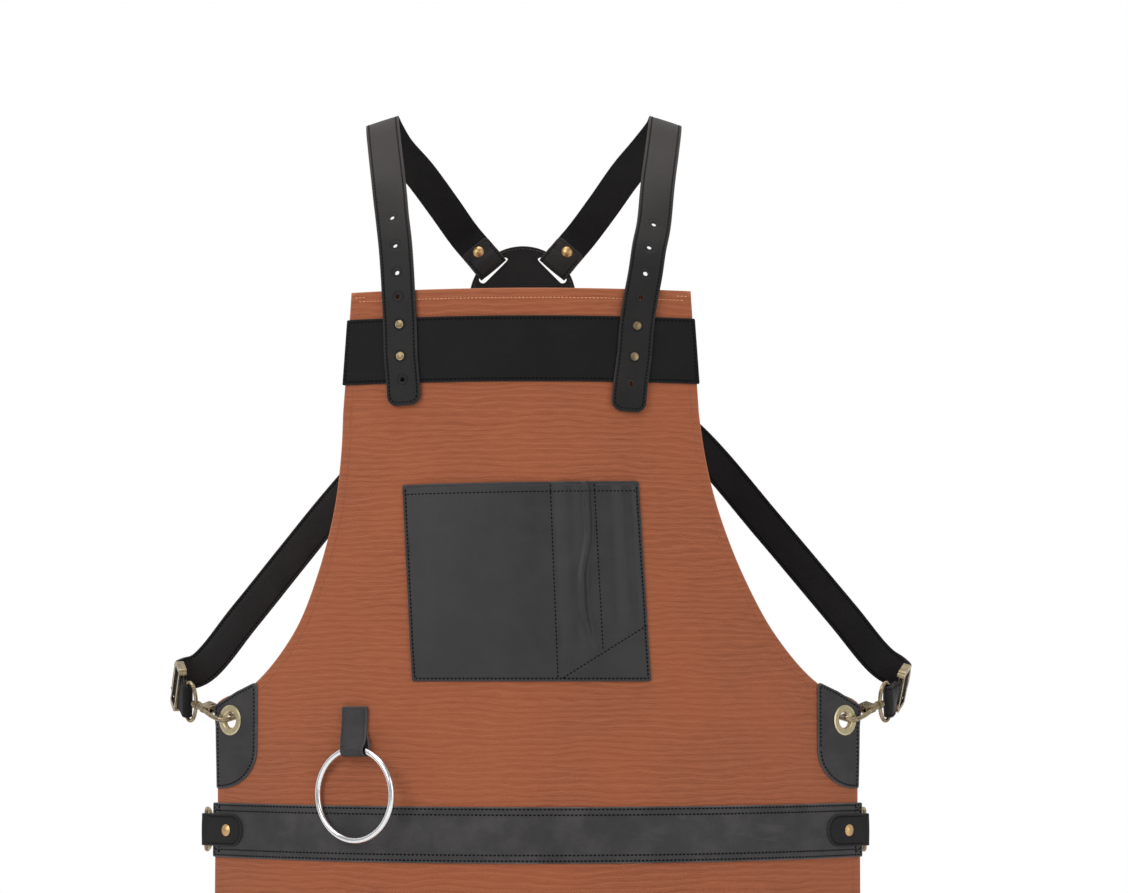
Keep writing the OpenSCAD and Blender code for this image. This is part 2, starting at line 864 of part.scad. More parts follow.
module stud_posts() {
    color("#a08a58")
        seat()
        for (s = [-1, 1])
            for (k = [4, 5])
                stud_frame(s, k)
                    difference() {
                        union() {
                            translate([0, 0, -canvas_t])
                                cylinder(r = 2, h = stud_top + canvas_t);
                            translate([0, 0, stud_top])
                                cylinder(r = 4, h = 1);
                            translate([0, 0, stud_top + 1])
                                dome(6.8, 0.5);
                        }
                        translate([0, 0, -canvas_t - 1])
                            cylinder(r = 1.3, h = 5);
                    }
}

module stud_screws() {
    color("#a08a58")
        seat()
        for (s = [-1, 1])
            for (k = [4, 5])
                stud_frame(s, k)
                    difference() {
                        union() {
                            translate([0, 0, -canvas_t])
                                cylinder(r = 1.3, h = 3.5);
                            translate([0, 0, -canvas_t - 1.2])
                                cylinder(r = 4, h = 1.15);
                        }
                        translate([-5, -0.5, -canvas_t - 1.7])
                            cube([10, 1, 1]);
                    }
}

module strap_rivet_frame(s, up) {
    translate(xyz(slot_pt(s, up, rivet_k, 0)))
        rotate([90, 0, 0])
            children();
}

grip = 2 * flat_r + strap_t;

module strap_rivet_caps() {
    color("#b08a4a")
        seat()
        for (s = [-1, 1])
            for (up = [-1, 1])
                strap_rivet_frame(s, up)
                    translate([0, 0, grip / 2])
                        difference() {
                            dome(11.6, 2.4);
                            translate([0, 0, -1])
                                cylinder(d = 3, h = 2);
                        }
}

module strap_rivet_posts() {
    color("#8f7444")
        seat()
        for (s = [-1, 1])
            for (up = [-1, 1])
                strap_rivet_frame(s, up) {
                    translate([0, 0, -grip / 2])
                        cylinder(d = 3, h = grip + 1);
                    translate([0, 0, -grip / 2])
                        rotate([180, 0, 0])
                            dome(9, 1.4);
                }
}

module tab_rivet_frame(s) {
    x = waist_x + s * rivet_x;
    at([x, body_y(x, 0), waist_mid], side_t(x), [0, 0, 1], side_n(x))
        children();
}

module tab_rivet_caps() {
    color("#b08a4a")
        seat()
        for (s = [-1, 1])
            tab_rivet_frame(s)
                translate([0, 0, 2 * leather_t])
                    difference() {
                        dome(12, 2.4);
                        translate([0, 0, -1])
                            cylinder(d = 3, h = 2);
                    }
}

module tab_rivet_posts() {
    deep = -canvas_t - leather_t;
    color("#8f7444")
        seat()
        for (s = [-1, 1])
            tab_rivet_frame(s) {
                translate([0, 0, deep - 0.1])
                    cylinder(d = 3, h = 2 * leather_t - deep + 1.1);
                translate([0, 0, deep - 0.1])
                    rotate([180, 0, 0])
                        dome(9, 1.4);
            }
}

// ---- the nodes ----

canvas_panel();
chest_band();
waist_band();
side_patch(-1);  // side_patch_left
side_patch(1);  // side_patch_right
pocket();
ring_loop();
tab(-1);  // tab_left
tab(1);  // tab_right
shoulder_strap(-1);  // shoulder_strap_left
shoulder_strap(1);  // shoulder_strap_right
back_disc();
back_strap(-1);  // back_strap_left
back_strap(1);  // back_strap_right
stud_posts();
stud_screws();
strap_rivet_caps();
strap_rivet_posts();
tab_rivet_caps();
tab_rivet_posts();
grommet(-1);  // grommet_left
grommet(1);  // grommet_right
washer(-1);  // washer_left
washer(1);  // washer_right
slider(-1);  // slider_left
slider(1);  // slider_right
eye(-1);  // eye_left
eye(1);  // eye_right
claw(-1);  // claw_left
claw(1);  // claw_right
gate(-1);  // gate_left
gate(1);  // gate_right
gate_pin(-1);  // gate_pin_left
gate_pin(1);  // gate_pin_right
gate_spring(-1);  // gate_spring_left
gate_spring(1);  // gate_spring_right
towel_ring();
d_ring(-1);  // d_ring_left
d_ring(1);  // d_ring_right
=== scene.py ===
"""The looks of the cross-back apron: canvas, leather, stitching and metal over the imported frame.

Lengths are in millimetres, measured as the part itself is laid out: x across, y back from the front of
the panel, z up from the shoulders. place_mm() turns them into metres in the row frame.
"""

from math import acos, asin, atan2, ceil, cos, pi, radians, sin, sqrt, tan

import bmesh
import bpy
import numpy as np
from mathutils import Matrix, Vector
from mathutils.geometry import delaunay_2d_cdt
from numpy.linalg import norm


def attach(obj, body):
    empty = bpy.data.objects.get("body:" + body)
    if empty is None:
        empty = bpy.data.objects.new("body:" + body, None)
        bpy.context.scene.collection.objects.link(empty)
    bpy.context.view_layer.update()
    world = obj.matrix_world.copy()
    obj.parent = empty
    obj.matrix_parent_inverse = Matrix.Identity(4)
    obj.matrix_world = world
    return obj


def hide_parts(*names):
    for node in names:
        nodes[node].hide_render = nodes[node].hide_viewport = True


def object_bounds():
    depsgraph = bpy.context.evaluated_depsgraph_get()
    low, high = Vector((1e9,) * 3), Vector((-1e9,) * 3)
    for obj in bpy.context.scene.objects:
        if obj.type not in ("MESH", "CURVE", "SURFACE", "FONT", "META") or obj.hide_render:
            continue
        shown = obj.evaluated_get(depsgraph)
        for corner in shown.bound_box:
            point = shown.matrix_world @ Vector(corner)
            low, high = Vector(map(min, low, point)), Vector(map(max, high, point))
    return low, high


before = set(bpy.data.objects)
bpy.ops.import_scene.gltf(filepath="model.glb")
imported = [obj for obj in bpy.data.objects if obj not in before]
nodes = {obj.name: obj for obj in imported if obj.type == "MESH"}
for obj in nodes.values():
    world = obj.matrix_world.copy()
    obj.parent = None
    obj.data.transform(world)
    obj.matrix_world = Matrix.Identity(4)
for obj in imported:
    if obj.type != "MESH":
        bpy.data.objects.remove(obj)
cad_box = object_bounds()
scene = bpy.context.scene

# ---- the sizes that the looks share with the frame ----

BODY_R = 490.0  # radius that the panel wraps round
WAIST_X = 14.0  # middle of the waist
CHEST_X = -2.0  # middle of the bib
SHOULDER_Y = 103.0  # the row frame's origin lies this far behind the front
WAIST_HALF = 322.0
BIB_TOP, BIB_HALF = -181.0, 160.0
BAND_TOP, BAND_LOW = -208.0, -272.0
CORNER_Z = -584.0  # where the armholes end
PATCH_LOW = -667.0
WAIST_TOP, WAIST_LOW = -681.0, -735.0
MID_WAIST = (WAIST_TOP + WAIST_LOW) / 2
HEM_Z = -1032.0
CANVAS = 1.2  # thickness of the cloth, then of the leather and the straps
LEATHER = 2.0
STRAP_T = 3.0
STRAP_HALF = 17.0
ARM_ROWS = [
    (-130, 163), (-181, 166), (-272, 172), (-342, 178), (-400, 189), (-458, 208),
    (-516, 238), (-563, 279), (CORNER_Z, 322), (-620, 322),
]
HOLES = {
    -1: [(-127.5, -106), (-123.5, -136), (-121, -164), (-119.5, -188), (-118, -215), (-117, -246), (-115, -269)],
    1: [(127.5, -114), (122.5, -139), (118.5, -166), (114, -190), (110, -217.5), (107.5, -247.5), (104, -274)],
}
FOOT = {-1: (-113.5, -294), 1: (101.5, -301)}
GROMMET_X, GROMMET_Z = WAIST_HALF - 17.5, -599.0
RIVET_X = WAIST_HALF - 15
TOWEL_X, TOWEL_TOP = -161.5, -585.0
SIDES = (-1, 1)
SIDE_NAME = {-1: "left", 1: "right"}
FULL_TURN = 2 * pi


def place_mm(p):
    """Part millimetres, one point or a list, as metres in the row frame."""
    q = np.array(p, float)
    q[..., 1] -= SHOULDER_Y
    return q / 1000


# ---- vector helpers ----


def arr(x):
    return np.asarray(x, float)


def vec(*v):
    return np.array(v, float)


def unit(v):
    v = arr(v)
    return v / norm(v)


def smooth(a, b, x):
    """0 below a, 1 above b, and smooth between."""
    t = np.clip((arr(x) - a) / (b - a), 0, 1)
    return t * t * (3 - 2 * t)


def bump(x, centre, width):
    return np.exp(-(((arr(x) - centre) / width) ** 2))


def catmull(points, steps):
    """A centripetal curve through points, with steps between each two."""
    p = arr(points)
    p = np.vstack([2 * p[0] - p[1], p, 2 * p[-1] - p[-2]])
    out = []
    for i in range(1, len(p) - 2):
        q = p[i - 1 : i + 3]
        t = [0.0]
        for a, b in zip(q, q[1:]):
            t.append(t[-1] + max(norm(b[:3] - a[:3]), 1e-6) ** 0.5)
        for s in np.linspace(t[1], t[2], steps, endpoint=False):
            level = list(q)
            for gap, (lo, count) in ((1, (0, 3)), (2, (0, 2)), (1, (1, 1))):
                at = [(t[lo + i], t[lo + i + gap]) for i in range(count)]
                level = [(b - s) / (b - a) * level[i] + (s - a) / (b - a) * level[i + 1] for i, (a, b) in enumerate(at)]
            out.append(level[0])
    out.append(p[-2])
    return np.array(out)


# ---- flat outlines ----


def rounded(corners, radii, step=4.0):
    """A closed flat outline with round corners and points no further apart than step."""
    c = [np.array(q, float) for q in corners]
    r = radii if hasattr(radii, "__len__") else [radii] * len(c)
    pts = []
    for i, p in enumerate(c):
        a, b = unit(c[i - 1] - p), unit(c[(i + 1) % len(c)] - p)
        half = acos(float(np.clip(np.dot(a, b), -1, 1))) / 2
        if r[i] < 0.01 or abs(half - pi / 2) < 0.02:
            pts.append(p)
            continue
        reach = r[i] / tan(half)
        centre = p + unit(a + b) * (r[i] / sin(half))
        start, end = p + a * reach - centre, p + b * reach - centre
        sweep = atan2(start[0] * end[1] - start[1] * end[0], np.dot(start, end))
        n = max(3, int(abs(sweep) * r[i] / min(step, r[i] * 0.5)) + 1)
        for k in range(n + 1):
            t = sweep * k / n
            turned = start[0] * cos(t) - start[1] * sin(t), start[0] * sin(t) + start[1] * cos(t)
            pts.append(centre + vec(*turned))
    return dense(pts, step)


def dense(pts, step, closed=True):
    """The same line with points no further apart than step."""
    out = []
    ends = list(range(len(pts))) if closed else list(range(len(pts) - 1))
    for i in ends:
        a, b = np.array(pts[i], float), np.array(pts[(i + 1) % len(pts)], float)
        length = norm(b - a)
        if length < 1e-6:
            continue
        n = max(1, ceil(length / step))
        out += [a + (b - a) * k / n for k in range(n)]
    if not closed:
        out.append(np.array(pts[-1], float))
    return np.array(out)


def anticlockwise(loop):
    p = arr(loop)
    q = np.roll(p, -1, 0)
    area = (p[:, 0] * q[:, 1] - q[:, 0] * p[:, 1]).sum()
    return p if area > 0 else p[::-1]


def inset(loop, d):
    """Moves a loop d to its left, which is into the material for an outline and for a reversed hole."""
    p = arr(loop)
    e1 = p - np.roll(p, 1, 0)
    e2 = np.roll(p, -1, 0) - p
    e1 /= norm(e1, axis=1)[:, None]
    e2 /= norm(e2, axis=1)[:, None]
    n1 = np.stack([-e1[:, 1], e1[:, 0]], 1)
    n2 = np.stack([-e2[:, 1], e2[:, 0]], 1)
    k = 1 + (n1 * n2).sum(1)
    return p + (n1 + n2) / np.maximum(k, 0.5)[:, None] * d


def circle(x, z, r, n=24):
    return [(x + r * cos(FULL_TURN * k / n), z + r * sin(FULL_TURN * k / n)) for k in range(n)]


def edge_distance(pts, loops):
    """How far each flat point is from the nearest edge."""
    pts = arr(pts)
    best = np.full(len(pts), 1e9)
    for loop in loops:
        a = arr(loop)
        ab = np.roll(a, -1, 0) - a
        length = np.maximum((ab**2).sum(1), 1e-9)
        for i in range(0, len(pts), 2000):
            p = pts[i : i + 2000, None, :] - a[None]
            t = np.clip((p * ab[None]).sum(2) / length[None], 0, 1)
            d = norm(p - t[..., None] * ab[None], axis=2).min(1)
            best[i : i + 2000] = np.minimum(best[i : i + 2000], d)
    return best


def inside(pts, loop):
    pts, a = arr(pts), arr(loop)
    b = np.roll(a, -1, 0)
    hit = np.zeros(len(pts), bool)
    for (x0, z0), (x1, z1) in zip(a, b):
        cross = (z0 > pts[:, 1]) != (z1 > pts[:, 1])
        if cross.any():
            at = (x1 - x0) * (pts[:, 1] - z0) / ((z1 - z0) or 1e-12) + x0
            hit ^= cross & (pts[:, 0] < at)
    return hit


# ---- pieces ----


def add_piece(name, verts_mm, faces, material, body="apron", cut=None, edge=None, side=None, replaces=()):
    """One named object from part millimetres, with its flat coordinates and edge distances on its points."""
    mesh = bpy.data.meshes.new(name)
    mesh.from_pydata(place_mm(verts_mm).tolist(), [], [tuple(int(i) for i in f) for f in faces])
    mesh.validate()
    obj = bpy.data.objects.new(name, mesh)
    scene.collection.objects.link(obj)
    mesh.materials.append(material)
    if cut is not None:
        at = mesh.attributes.new("cut", "FLOAT_VECTOR", "POINT")
        flat = np.zeros((len(mesh.vertices), 3), np.float32)
        flat[:, :2] = np.asarray(cut)[:, :2] / 1000
        at.data.foreach_set("vector", flat.ravel())
    for label, values in (("edge", edge), ("side", side)):
        if values is not None:
            mesh.attributes.new(label, "FLOAT", "POINT").data.foreach_set("value", np.asarray(values, np.float32))
    mesh.shade_smooth()
    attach(obj, body)
    if replaces:
        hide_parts(*replaces)
    return obj


def plate(outline, place, low, high, holes=(), pitch=6.0, rows=None, cols=None, soft=0.7, relief=None):
    """A sheet with rounded edges: flat outline and holes, lifted into place(a, b, h).

    Returns points, faces, flat coordinates, edge distances and 1 on the upper side. relief(a, b, up)
    adds to the height of the upper (1) or lower (0) side.
    """
    loops = [anticlockwise(outline)] + [anticlockwise(h)[::-1] for h in holes]
    soft = min(soft, (high - low) * 0.45)
    middle = (high + low) / 2
    profile = [
        (soft, high, 1), (soft * 0.35, high - soft * 0.3, 1), (0.02, high - soft * 0.9, 1),
        (0.0, middle, 0.5),
        (0.02, low + soft * 0.9, 0), (soft * 0.35, low + soft * 0.3, 0), (soft, low, 0),
    ]
    lo, hi = loops[0].min(0), loops[0].max(0)
    xs = np.arange(lo[0] + pitch / 2, hi[0], pitch) if cols is None else arr(cols)
    zs = np.arange(lo[1] + pitch / 2, hi[1], pitch) if rows is None else arr(rows)
    grid = np.stack(np.meshgrid(xs, zs), -1).reshape(-1, 2)
    grid = grid[inside(grid, loops[0])]
    for hole in loops[1:]:
        grid = grid[~inside(grid, hole)]
    near = edge_distance(grid, loops)
    grid = grid[near > (pitch * 0.45 if rows is None else 1.4)]
    rims = [inset(l, soft) for l in loops]
    flat = np.vstack(rims + [grid])
    edges, start = [], 0
    for rim in rims:
        n = len(rim)
        edges += [(start + k, start + (k + 1) % n) for k in range(n)]
        start += n
    out = delaunay_2d_cdt([Vector(p) for p in flat], edges, [], 0, 1e-7, True)
    cap = np.array([tuple(v) for v in out[0]])
    tris = np.array([f for f in out[2] if len(f) == 3])
    centres = cap[tris].mean(1)
    keep = inside(centres, rims[0])
    for rim in rims[1:]:
        keep &= ~inside(centres, rim)
    tris = tris[keep]
    back = {o[0] if o else -1: i for i, o in enumerate(out[3])}
    up_count = len(cap)
    pts = [cap, cap.copy()]
    height = [np.full(up_count, high), np.full(up_count, low)]
    side = [np.ones(up_count), np.zeros(up_count)]
    faces = [tuple(t) for t in tris] + [tuple(t[::-1] + up_count) for t in tris]
    total, start = 2 * up_count, 0
    for loop in loops:
        n = len(loop)
        rings = [[back[start + k] for k in range(n)]]
        for d, h, s in profile[1:-1]:
            ring = inset(loop, d)
            pts.append(ring)
            height.append(np.full(n, h))
            side.append(np.full(n, s))
            rings.append(list(range(total, total + n)))
            total += n
        rings.append([back[start + k] + up_count for k in range(n)])
        for a, b in zip(rings, rings[1:]):
            for k in range(n):
                faces.append((a[k], b[k], b[(k + 1) % n], a[(k + 1) % n]))
        start += n
    flat_all, h_all, s_all = np.vstack(pts), np.concatenate(height), np.concatenate(side)
    distance = edge_distance(flat_all, loops)
    if relief is not None:
        h_all = h_all + relief(flat_all[:, 0], flat_all[:, 1], s_all)
    return place(flat_all[:, 0], flat_all[:, 1], h_all), faces, flat_all, distance, s_all


def sew(name, seams, material, pitch=3.8, run=2.8, radius=0.42, sides=6):
    """Lines of thread. seams is [(points, normals)] along each line in part millimetres."""
    verts, faces = [], []
    # share of the stitch's length, then its width and height there as shares of the thread's radius
    stations = ((0.0, 0.45, -0.9), (0.16, 0.85, 0.0), (0.5, 1.0, 0.35), (0.84, 0.85, 0.0), (1.0, 0.45, -0.9))
    for pts, normals in seams:
        pts, normals = arr(pts), arr(normals)
        along = np.concatenate([[0], np.cumsum(norm(np.diff(pts, axis=0), axis=1))])
        count = int((along[-1] - 0.5) / pitch)
        if count < 1:
            continue
        spare = (along[-1] - (count - 1) * pitch - run) / 2
        for k in range(count):
            base = len(verts)
            s0 = spare + k * pitch
            at = np.array([[np.interp(s0 + run * t, along, pts[:, c]) for c in range(3)] for t, _, _ in stations])
            nm = unit([np.interp(s0 + run / 2, along, normals[:, c]) for c in range(3)])
            t = unit(at[-1] - at[0])
            w = np.cross(t, nm)
            for p, (_, wide, lift) in zip(at, stations):
                for j in range(sides):
                    a = FULL_TURN * j / sides
                    verts.append(p + nm * (radius * (lift + wide * sin(a))) + w * (radius * wide * cos(a)))
            for i in range(len(stations) - 1):
                for j in range(sides):
                    a, b = base + i * sides + j, base + i * sides + (j + 1) % sides
                    faces.append((a, b, b + sides, a + sides))
            faces.append(tuple(base + j for j in range(sides))[::-1])
            faces.append(tuple(base + (len(stations) - 1) * sides + j for j in range(sides)))
    return add_piece(name, np.array(verts), faces, material)


def seam_on(place, flat_points, height, closed=False, step=2.0):
    """A seam along flat points on a placed sheet, with the surface's normals."""
    p = dense(flat_points, step, closed)
    if closed:
        p = np.vstack([p, p[:1]])
    at = place(p[:, 0], p[:, 1], np.full(len(p), float(height)))
    over = place(p[:, 0], p[:, 1], np.full(len(p), float(height) + 1))
    return at, over - at


# ---- materials ----


def new_material(name, base, roughness, metallic=0.0, specular=0.5, sheen=0.0):
    m = bpy.data.materials.new(name)
    m.use_nodes = True
    shader = m.node_tree.nodes["Principled BSDF"]
    for socket, value in (
        ("Base Color", (*base, 1)), ("Roughness", roughness), ("Metallic", metallic),
        ("Specular IOR Level", specular), ("Sheen Weight", sheen), ("Sheen Roughness", 0.5),
    ):
        shader.inputs[socket].default_value = value
    return m, shader


class Graph:
    """Short names for the nodes that the materials use."""

    def __init__(self, material):
        self.tree = material.node_tree

    def node(self, kind, values=(), **settings):
        n = self.tree.nodes.new(kind)
        for k, v in settings.items():
            setattr(n, k, v)
        for socket, v in values:
            self.link(v, n.inputs[socket])
        return n

    def link(self, value, socket):
        if isinstance(value, bpy.types.NodeSocket):
            self.tree.links.new(value, socket)
        elif value is not None:
            socket.default_value = value

    def attribute(self, name, kind="Fac"):
        return self.node("ShaderNodeAttribute", attribute_name=name).outputs[kind]

    def place(self):
        return self.node("ShaderNodeTexCoord").outputs["Object"]

    def scaled(self, coords, scale, turn=0.0):
        values = (("Vector", coords), ("Scale", scale), ("Rotation", (0, 0, turn)))
        return self.node("ShaderNodeMapping", values).outputs["Vector"]

    def noise(self, coords, scale, detail=3.0, roughness=0.55, distortion=0.0):
        values = (("Vector", coords), ("Scale", scale), ("Detail", detail), ("Roughness", roughness),
                  ("Distortion", distortion))
        return self.node("ShaderNodeTexNoise", values).outputs["Fac"]

    def cells(self, coords, scale, feature="F1"):
        values = (("Vector", coords), ("Scale", scale))
        return self.node("ShaderNodeTexVoronoi", values, feature=feature).outputs["Distance"]

    def math(self, operation, a, b=None, c=None):
        n = self.node("ShaderNodeMath", operation=operation)
        for value, socket in zip((a, b, c), n.inputs):
            self.link(value, socket)
        return n.outputs[0]

    def times(self, a, b, plus=None):
        return self.math("MULTIPLY" if plus is None else "MULTIPLY_ADD", a, b, plus)

    def wave(self, value, length):
        return self.math("SINE", self.times(value, FULL_TURN / length))

    def peak(self, value, centre, width):
        """1 where value is at centre, falling to 0 over width."""
        return self.between(self.math("ABSOLUTE", self.math("SUBTRACT", value, centre)), 0.0, width, 1.0, 0.0)

    def centred(self, value):
        return self.math("SUBTRACT", value, 0.5)

    def between(self, value, a, b, lo=0.0, hi=1.0):
        values = (("Value", value), ("From Min", a), ("From Max", b), ("To Min", lo), ("To Max", hi))
        return self.node("ShaderNodeMapRange", values, interpolation_type="SMOOTHSTEP").outputs["Result"]

    def mix(self, factor, a, b):
        a, b = (q if isinstance(q, bpy.types.NodeSocket) else (*q, 1) for q in (a, b))
        return self.node("ShaderNodeMix", ((0, factor), (6, a), (7, b)), data_type="RGBA").outputs[2]

    def split(self, coords):
        return self.node("ShaderNodeSeparateXYZ", ((0, coords),)).outputs

    def normal(self, height, strength, distance, under=None):
        values = (("Strength", strength), ("Distance", distance), ("Height", height), ("Normal", under))
        return self.node("ShaderNodeBump", values).outputs["Normal"]


def canvas_material():
    """Rust twill with slubs that run across, paler on worn hems."""
    m, shader = new_material("rust_canvas", (0.33, 0.086, 0.034), 0.86, specular=0.2, sheen=0.12)
    g = Graph(m)
    cut = g.attribute("cut", "Vector")
    x, z, _ = g.split(cut)
    drift = g.noise(g.scaled(cut, (9, 26, 1)), 1.0, 2.0)
    drift_fine = g.noise(g.scaled(cut, (45, 60, 1)), 1.0, 2.0)
    lifted = g.times(drift, 0.020, z)
    lifted = g.times(drift_fine, 0.0022, lifted)
    bands = g.wave(lifted, 0.0062)
    bands_fine = g.wave(lifted, 0.0029)
    patch = g.noise(g.scaled(cut, (22, 90, 1)), 1.0, 3.0)
    slub = g.noise(g.scaled(cut, (55, 900, 1)), 1.0, 3.0, 0.6)
    twill = g.wave(g.math("ADD", x, g.times(z, 1.25)), 0.0021)
    weft = g.wave(z, 0.0013)
    grain = g.noise(cut, 1400, 1.0)
    tone = g.times(g.times(bands, patch), 0.20, 0.5)
    for part, k in ((bands_fine, 0.05), (g.centred(slub), 0.80), (twill, 0.16), (g.centred(grain), 0.9)):
        tone = g.times(part, k, tone)
    tone = g.between(tone, 0.0, 1.0)
    colour = g.mix(tone, (0.200, 0.052, 0.020), (0.375, 0.124, 0.058))
    broad = g.noise(cut, 9, 2.0)
    colour = g.mix(g.between(broad, 0.35, 0.7, 0.0, 0.35), colour, (0.36, 0.10, 0.042))
    edge = g.attribute("edge")
    worn = g.times(g.between(edge, 0.2, 1.6, 1.0, 0.0), g.between(grain, 0.35, 0.65, 0.25, 0.8))
    colour = g.mix(worn, colour, (0.52, 0.20, 0.10))
    g.link(colour, shader.inputs["Base Color"])
    hem = g.between(edge, 8.5, 10.5, 1.0, 0.0)  # the doubled cloth, then the line sewn along it, in mm
    groove = g.times(g.peak(edge, 9.2, 0.9), -0.7)
    relief = g.times(hem, 0.9, groove)
    weave = g.times(weft, 0.35, g.times(twill, 0.65))
    weave = g.times(slub, 1.2, weave)
    weave = g.times(bands, 0.22, weave)
    fine = g.normal(weave, 0.42, 0.0003)
    g.link(g.normal(relief, 0.55, 0.0006, fine), shader.inputs["Normal"])
    g.link(g.between(grain, 0.2, 0.8, 0.78, 0.95), shader.inputs["Roughness"])
    return m


def tinted(colour, k):
    return tuple(min(1, c * k) for c in colour)


def leather_material(name, base, pale, rough, grain_mm=0.9, grain_depth=0.00018, groove_at=(), flesh=None,
                     specular=0.4, scuff=0.35, edge_wear=0.5, painted_sheen_above=None):
    """Grained leather: pores, soft creases, a polished and worn edge, and a groove under each seam.

    flesh is the colour of a suede underside. Above the level given last, in metres, the colour is painted paler: a
    painted sheen where the top light falls.
    """
    m, shader = new_material(name, base, rough, specular=specular, sheen=0.04)
    g = Graph(m)
    spot = g.place()
    edge = g.attribute("edge")
    cloud = g.noise(spot, 28, 4.0, 0.6)
    streak = g.noise(g.scaled(spot, (18, 18, 60)), 1.0, 3.0, 0.6, 0.8)
    pores = g.cells(spot, 1000 / grain_mm)
    wrinkle = g.cells(g.scaled(spot, (1, 1, 1.5)), 1000 / (grain_mm * 3.2), "DISTANCE_TO_EDGE")
    fine = g.noise(spot, 1500, 2.0)
    colour = g.mix(g.between(cloud, 0.35, 0.75, 0.0, scuff), base, pale)
    colour = g.mix(g.between(streak, 0.55, 0.8, 0.0, scuff * 0.8), colour, pale)
    colour = g.mix(g.between(pores, 0.0, 0.55, 0.30, 0.0), colour, tinted(base, 0.45))
    # painted sheen: the colour is painted paler towards the top, where the top light falls on the strap
    if painted_sheen_above is not None:
        painted_top_sheen = g.between(g.split(spot)[2], painted_sheen_above, painted_sheen_above + 0.15, 0.0, 0.85)
        colour = g.mix(painted_top_sheen, colour, tinted(pale, 1.9))
    worn = g.times(g.between(edge, 0.1, 1.3, 1.0, 0.0), g.between(cloud, 0.3, 0.7, 0.3, 1.0))
    colour = g.mix(g.times(worn, edge_wear), colour, tinted(pale, 2.4))
    height = g.times(g.between(pores, 0.05, 0.5), 0.8, g.times(fine, 0.4))
    height = g.times(g.between(wrinkle, 0.0, 0.12), 0.5, height)
    roughness = g.between(g.math("ADD", cloud, g.times(fine, 0.3)), 0.35, 0.95, rough - 0.07, rough + 0.12)
    if flesh:
        under = g.between(g.attribute("side"), 0.4, 0.6, 1.0, 0.0)
        nap = g.noise(spot, 900, 4.0, 0.7)
        suede = g.mix(g.between(nap, 0.3, 0.7), flesh, tinted(flesh, 1.7))
        colour = g.mix(under, colour, suede)
        roughness = g.times(under, 0.3, roughness)
        height = g.times(g.times(under, nap), 1.2, height)
    g.link(colour, shader.inputs["Base Color"])
    g.link(roughness, shader.inputs["Roughness"])
    skin = g.normal(height, 0.5, grain_depth)
    buckle = g.noise(spot, 70, 2.0)
    skin = g.normal(buckle, 0.25, 0.0012, skin)
    if groove_at:
        grooves = None
        for at in groove_at:
            one = g.peak(edge, at, 1.1)
            grooves = one if grooves is None else g.math("MAXIMUM", grooves, one)
        skin = g.normal(g.times(grooves, -1.0), 0.8, 0.0007, skin)
    g.link(skin, shader.inputs["Normal"])
    return m


def thread_material(name, base, specular=0.35, sheen=0.25):
    m, shader = new_material(name, base, 0.7, specular=specular, sheen=sheen)
    g = Graph(m)
    spot = g.place()
    twist = g.noise(g.scaled(spot, (1, 1, 1), 0.6), 1900, 2.0)
    fade = g.noise(spot, 60, 2.0)
    colour = g.mix(g.between(twist, 0.35, 0.65), tinted(base, 0.55), tinted(base, 1.35))
    colour = g.mix(g.between(fade, 0.4, 0.7, 0.0, 0.4), colour, tinted(base, 1.5))
    g.link(colour, shader.inputs["Base Color"])
    g.link(g.normal(twist, 0.6, 0.0002), shader.inputs["Normal"])
    return m


def metal_material(name, bright, dark, rough, tarnish=0.5, scratch=0.12):
    m, shader = new_material(name, bright, rough, metallic=1.0)
    g = Graph(m)
    spot = g.place()
    patina = g.noise(spot, 170, 5.0, 0.65)
    spots = g.noise(spot, 650, 3.0)
    lines = g.noise(g.scaled(spot, (120, 120, 900), 0.5), 1.0, 3.0, 0.6)
    mottled = g.times(spots, 0.35, patina)
    colour = g.mix(g.between(mottled, 0.45, 0.95, 0.0, tarnish), bright, dark)
    g.link(colour, shader.inputs["Base Color"])
    g.link(g.between(mottled, 0.45, 0.95, rough * 0.8, rough + 0.18), shader.inputs["Roughness"])
    g.link(g.normal(g.math("ADD", lines, spots), scratch, 0.0002), shader.inputs["Normal"])
    return m


CANVAS_MAT = canvas_material()
LEATHER_MAT = leather_material(
    "black_leather", (0.0100, 0.0094, 0.0096), (0.024, 0.022, 0.0215), 0.54, groove_at=(2.6,), specular=0.14)
BAND_MAT = leather_material(
    "band_leather", (0.0085, 0.0082, 0.0084), (0.017, 0.016, 0.016), 0.58, groove_at=(2.8,), specular=0.08)
PATCH_MAT = leather_material(
    "patch_leather", (0.026, 0.0245, 0.026), (0.058, 0.054, 0.056), 0.48, groove_at=(2.8,), scuff=0.45, specular=0.24)
BELT_MAT = leather_material(
    "belt_leather", (0.029, 0.0275, 0.029), (0.075, 0.070, 0.072), 0.46, groove_at=(2.4, 7.8), scuff=0.5, specular=0.26)
POCKET_MAT = leather_material(
    "pocket_leather", (0.023, 0.022, 0.0232), (0.040, 0.0385, 0.040), 0.44, grain_mm=0.7, grain_depth=0.0001,
    groove_at=(2.8,), scuff=0.35, edge_wear=0.2, specular=0.3)
# the straps get a painted sheen on their upper part, paler colour where the top light falls
STRAP_MAT = leather_material(
    "strap_leather", (0.0105, 0.0098, 0.0098), (0.027, 0.0245, 0.023), 0.50, groove_at=(3.0,),
    flesh=(0.0062, 0.0058, 0.0061), specular=0.16, painted_sheen_above=-0.16)
BLACK_THREAD = thread_material("black_thread", (0.0035, 0.0035, 0.004), specular=0.06, sheen=0.0)
GREY_THREAD = thread_material("worn_thread", (0.045, 0.042, 0.042))
RUST_THREAD = thread_material("rust_thread", (0.30, 0.085, 0.036))
ORANGE_THREAD = thread_material("orange_thread", (0.62, 0.26, 0.12))
OLD_BRASS = metal_material("antique_brass", (0.40, 0.32, 0.20), (0.10, 0.075, 0.045), 0.27, 0.75)
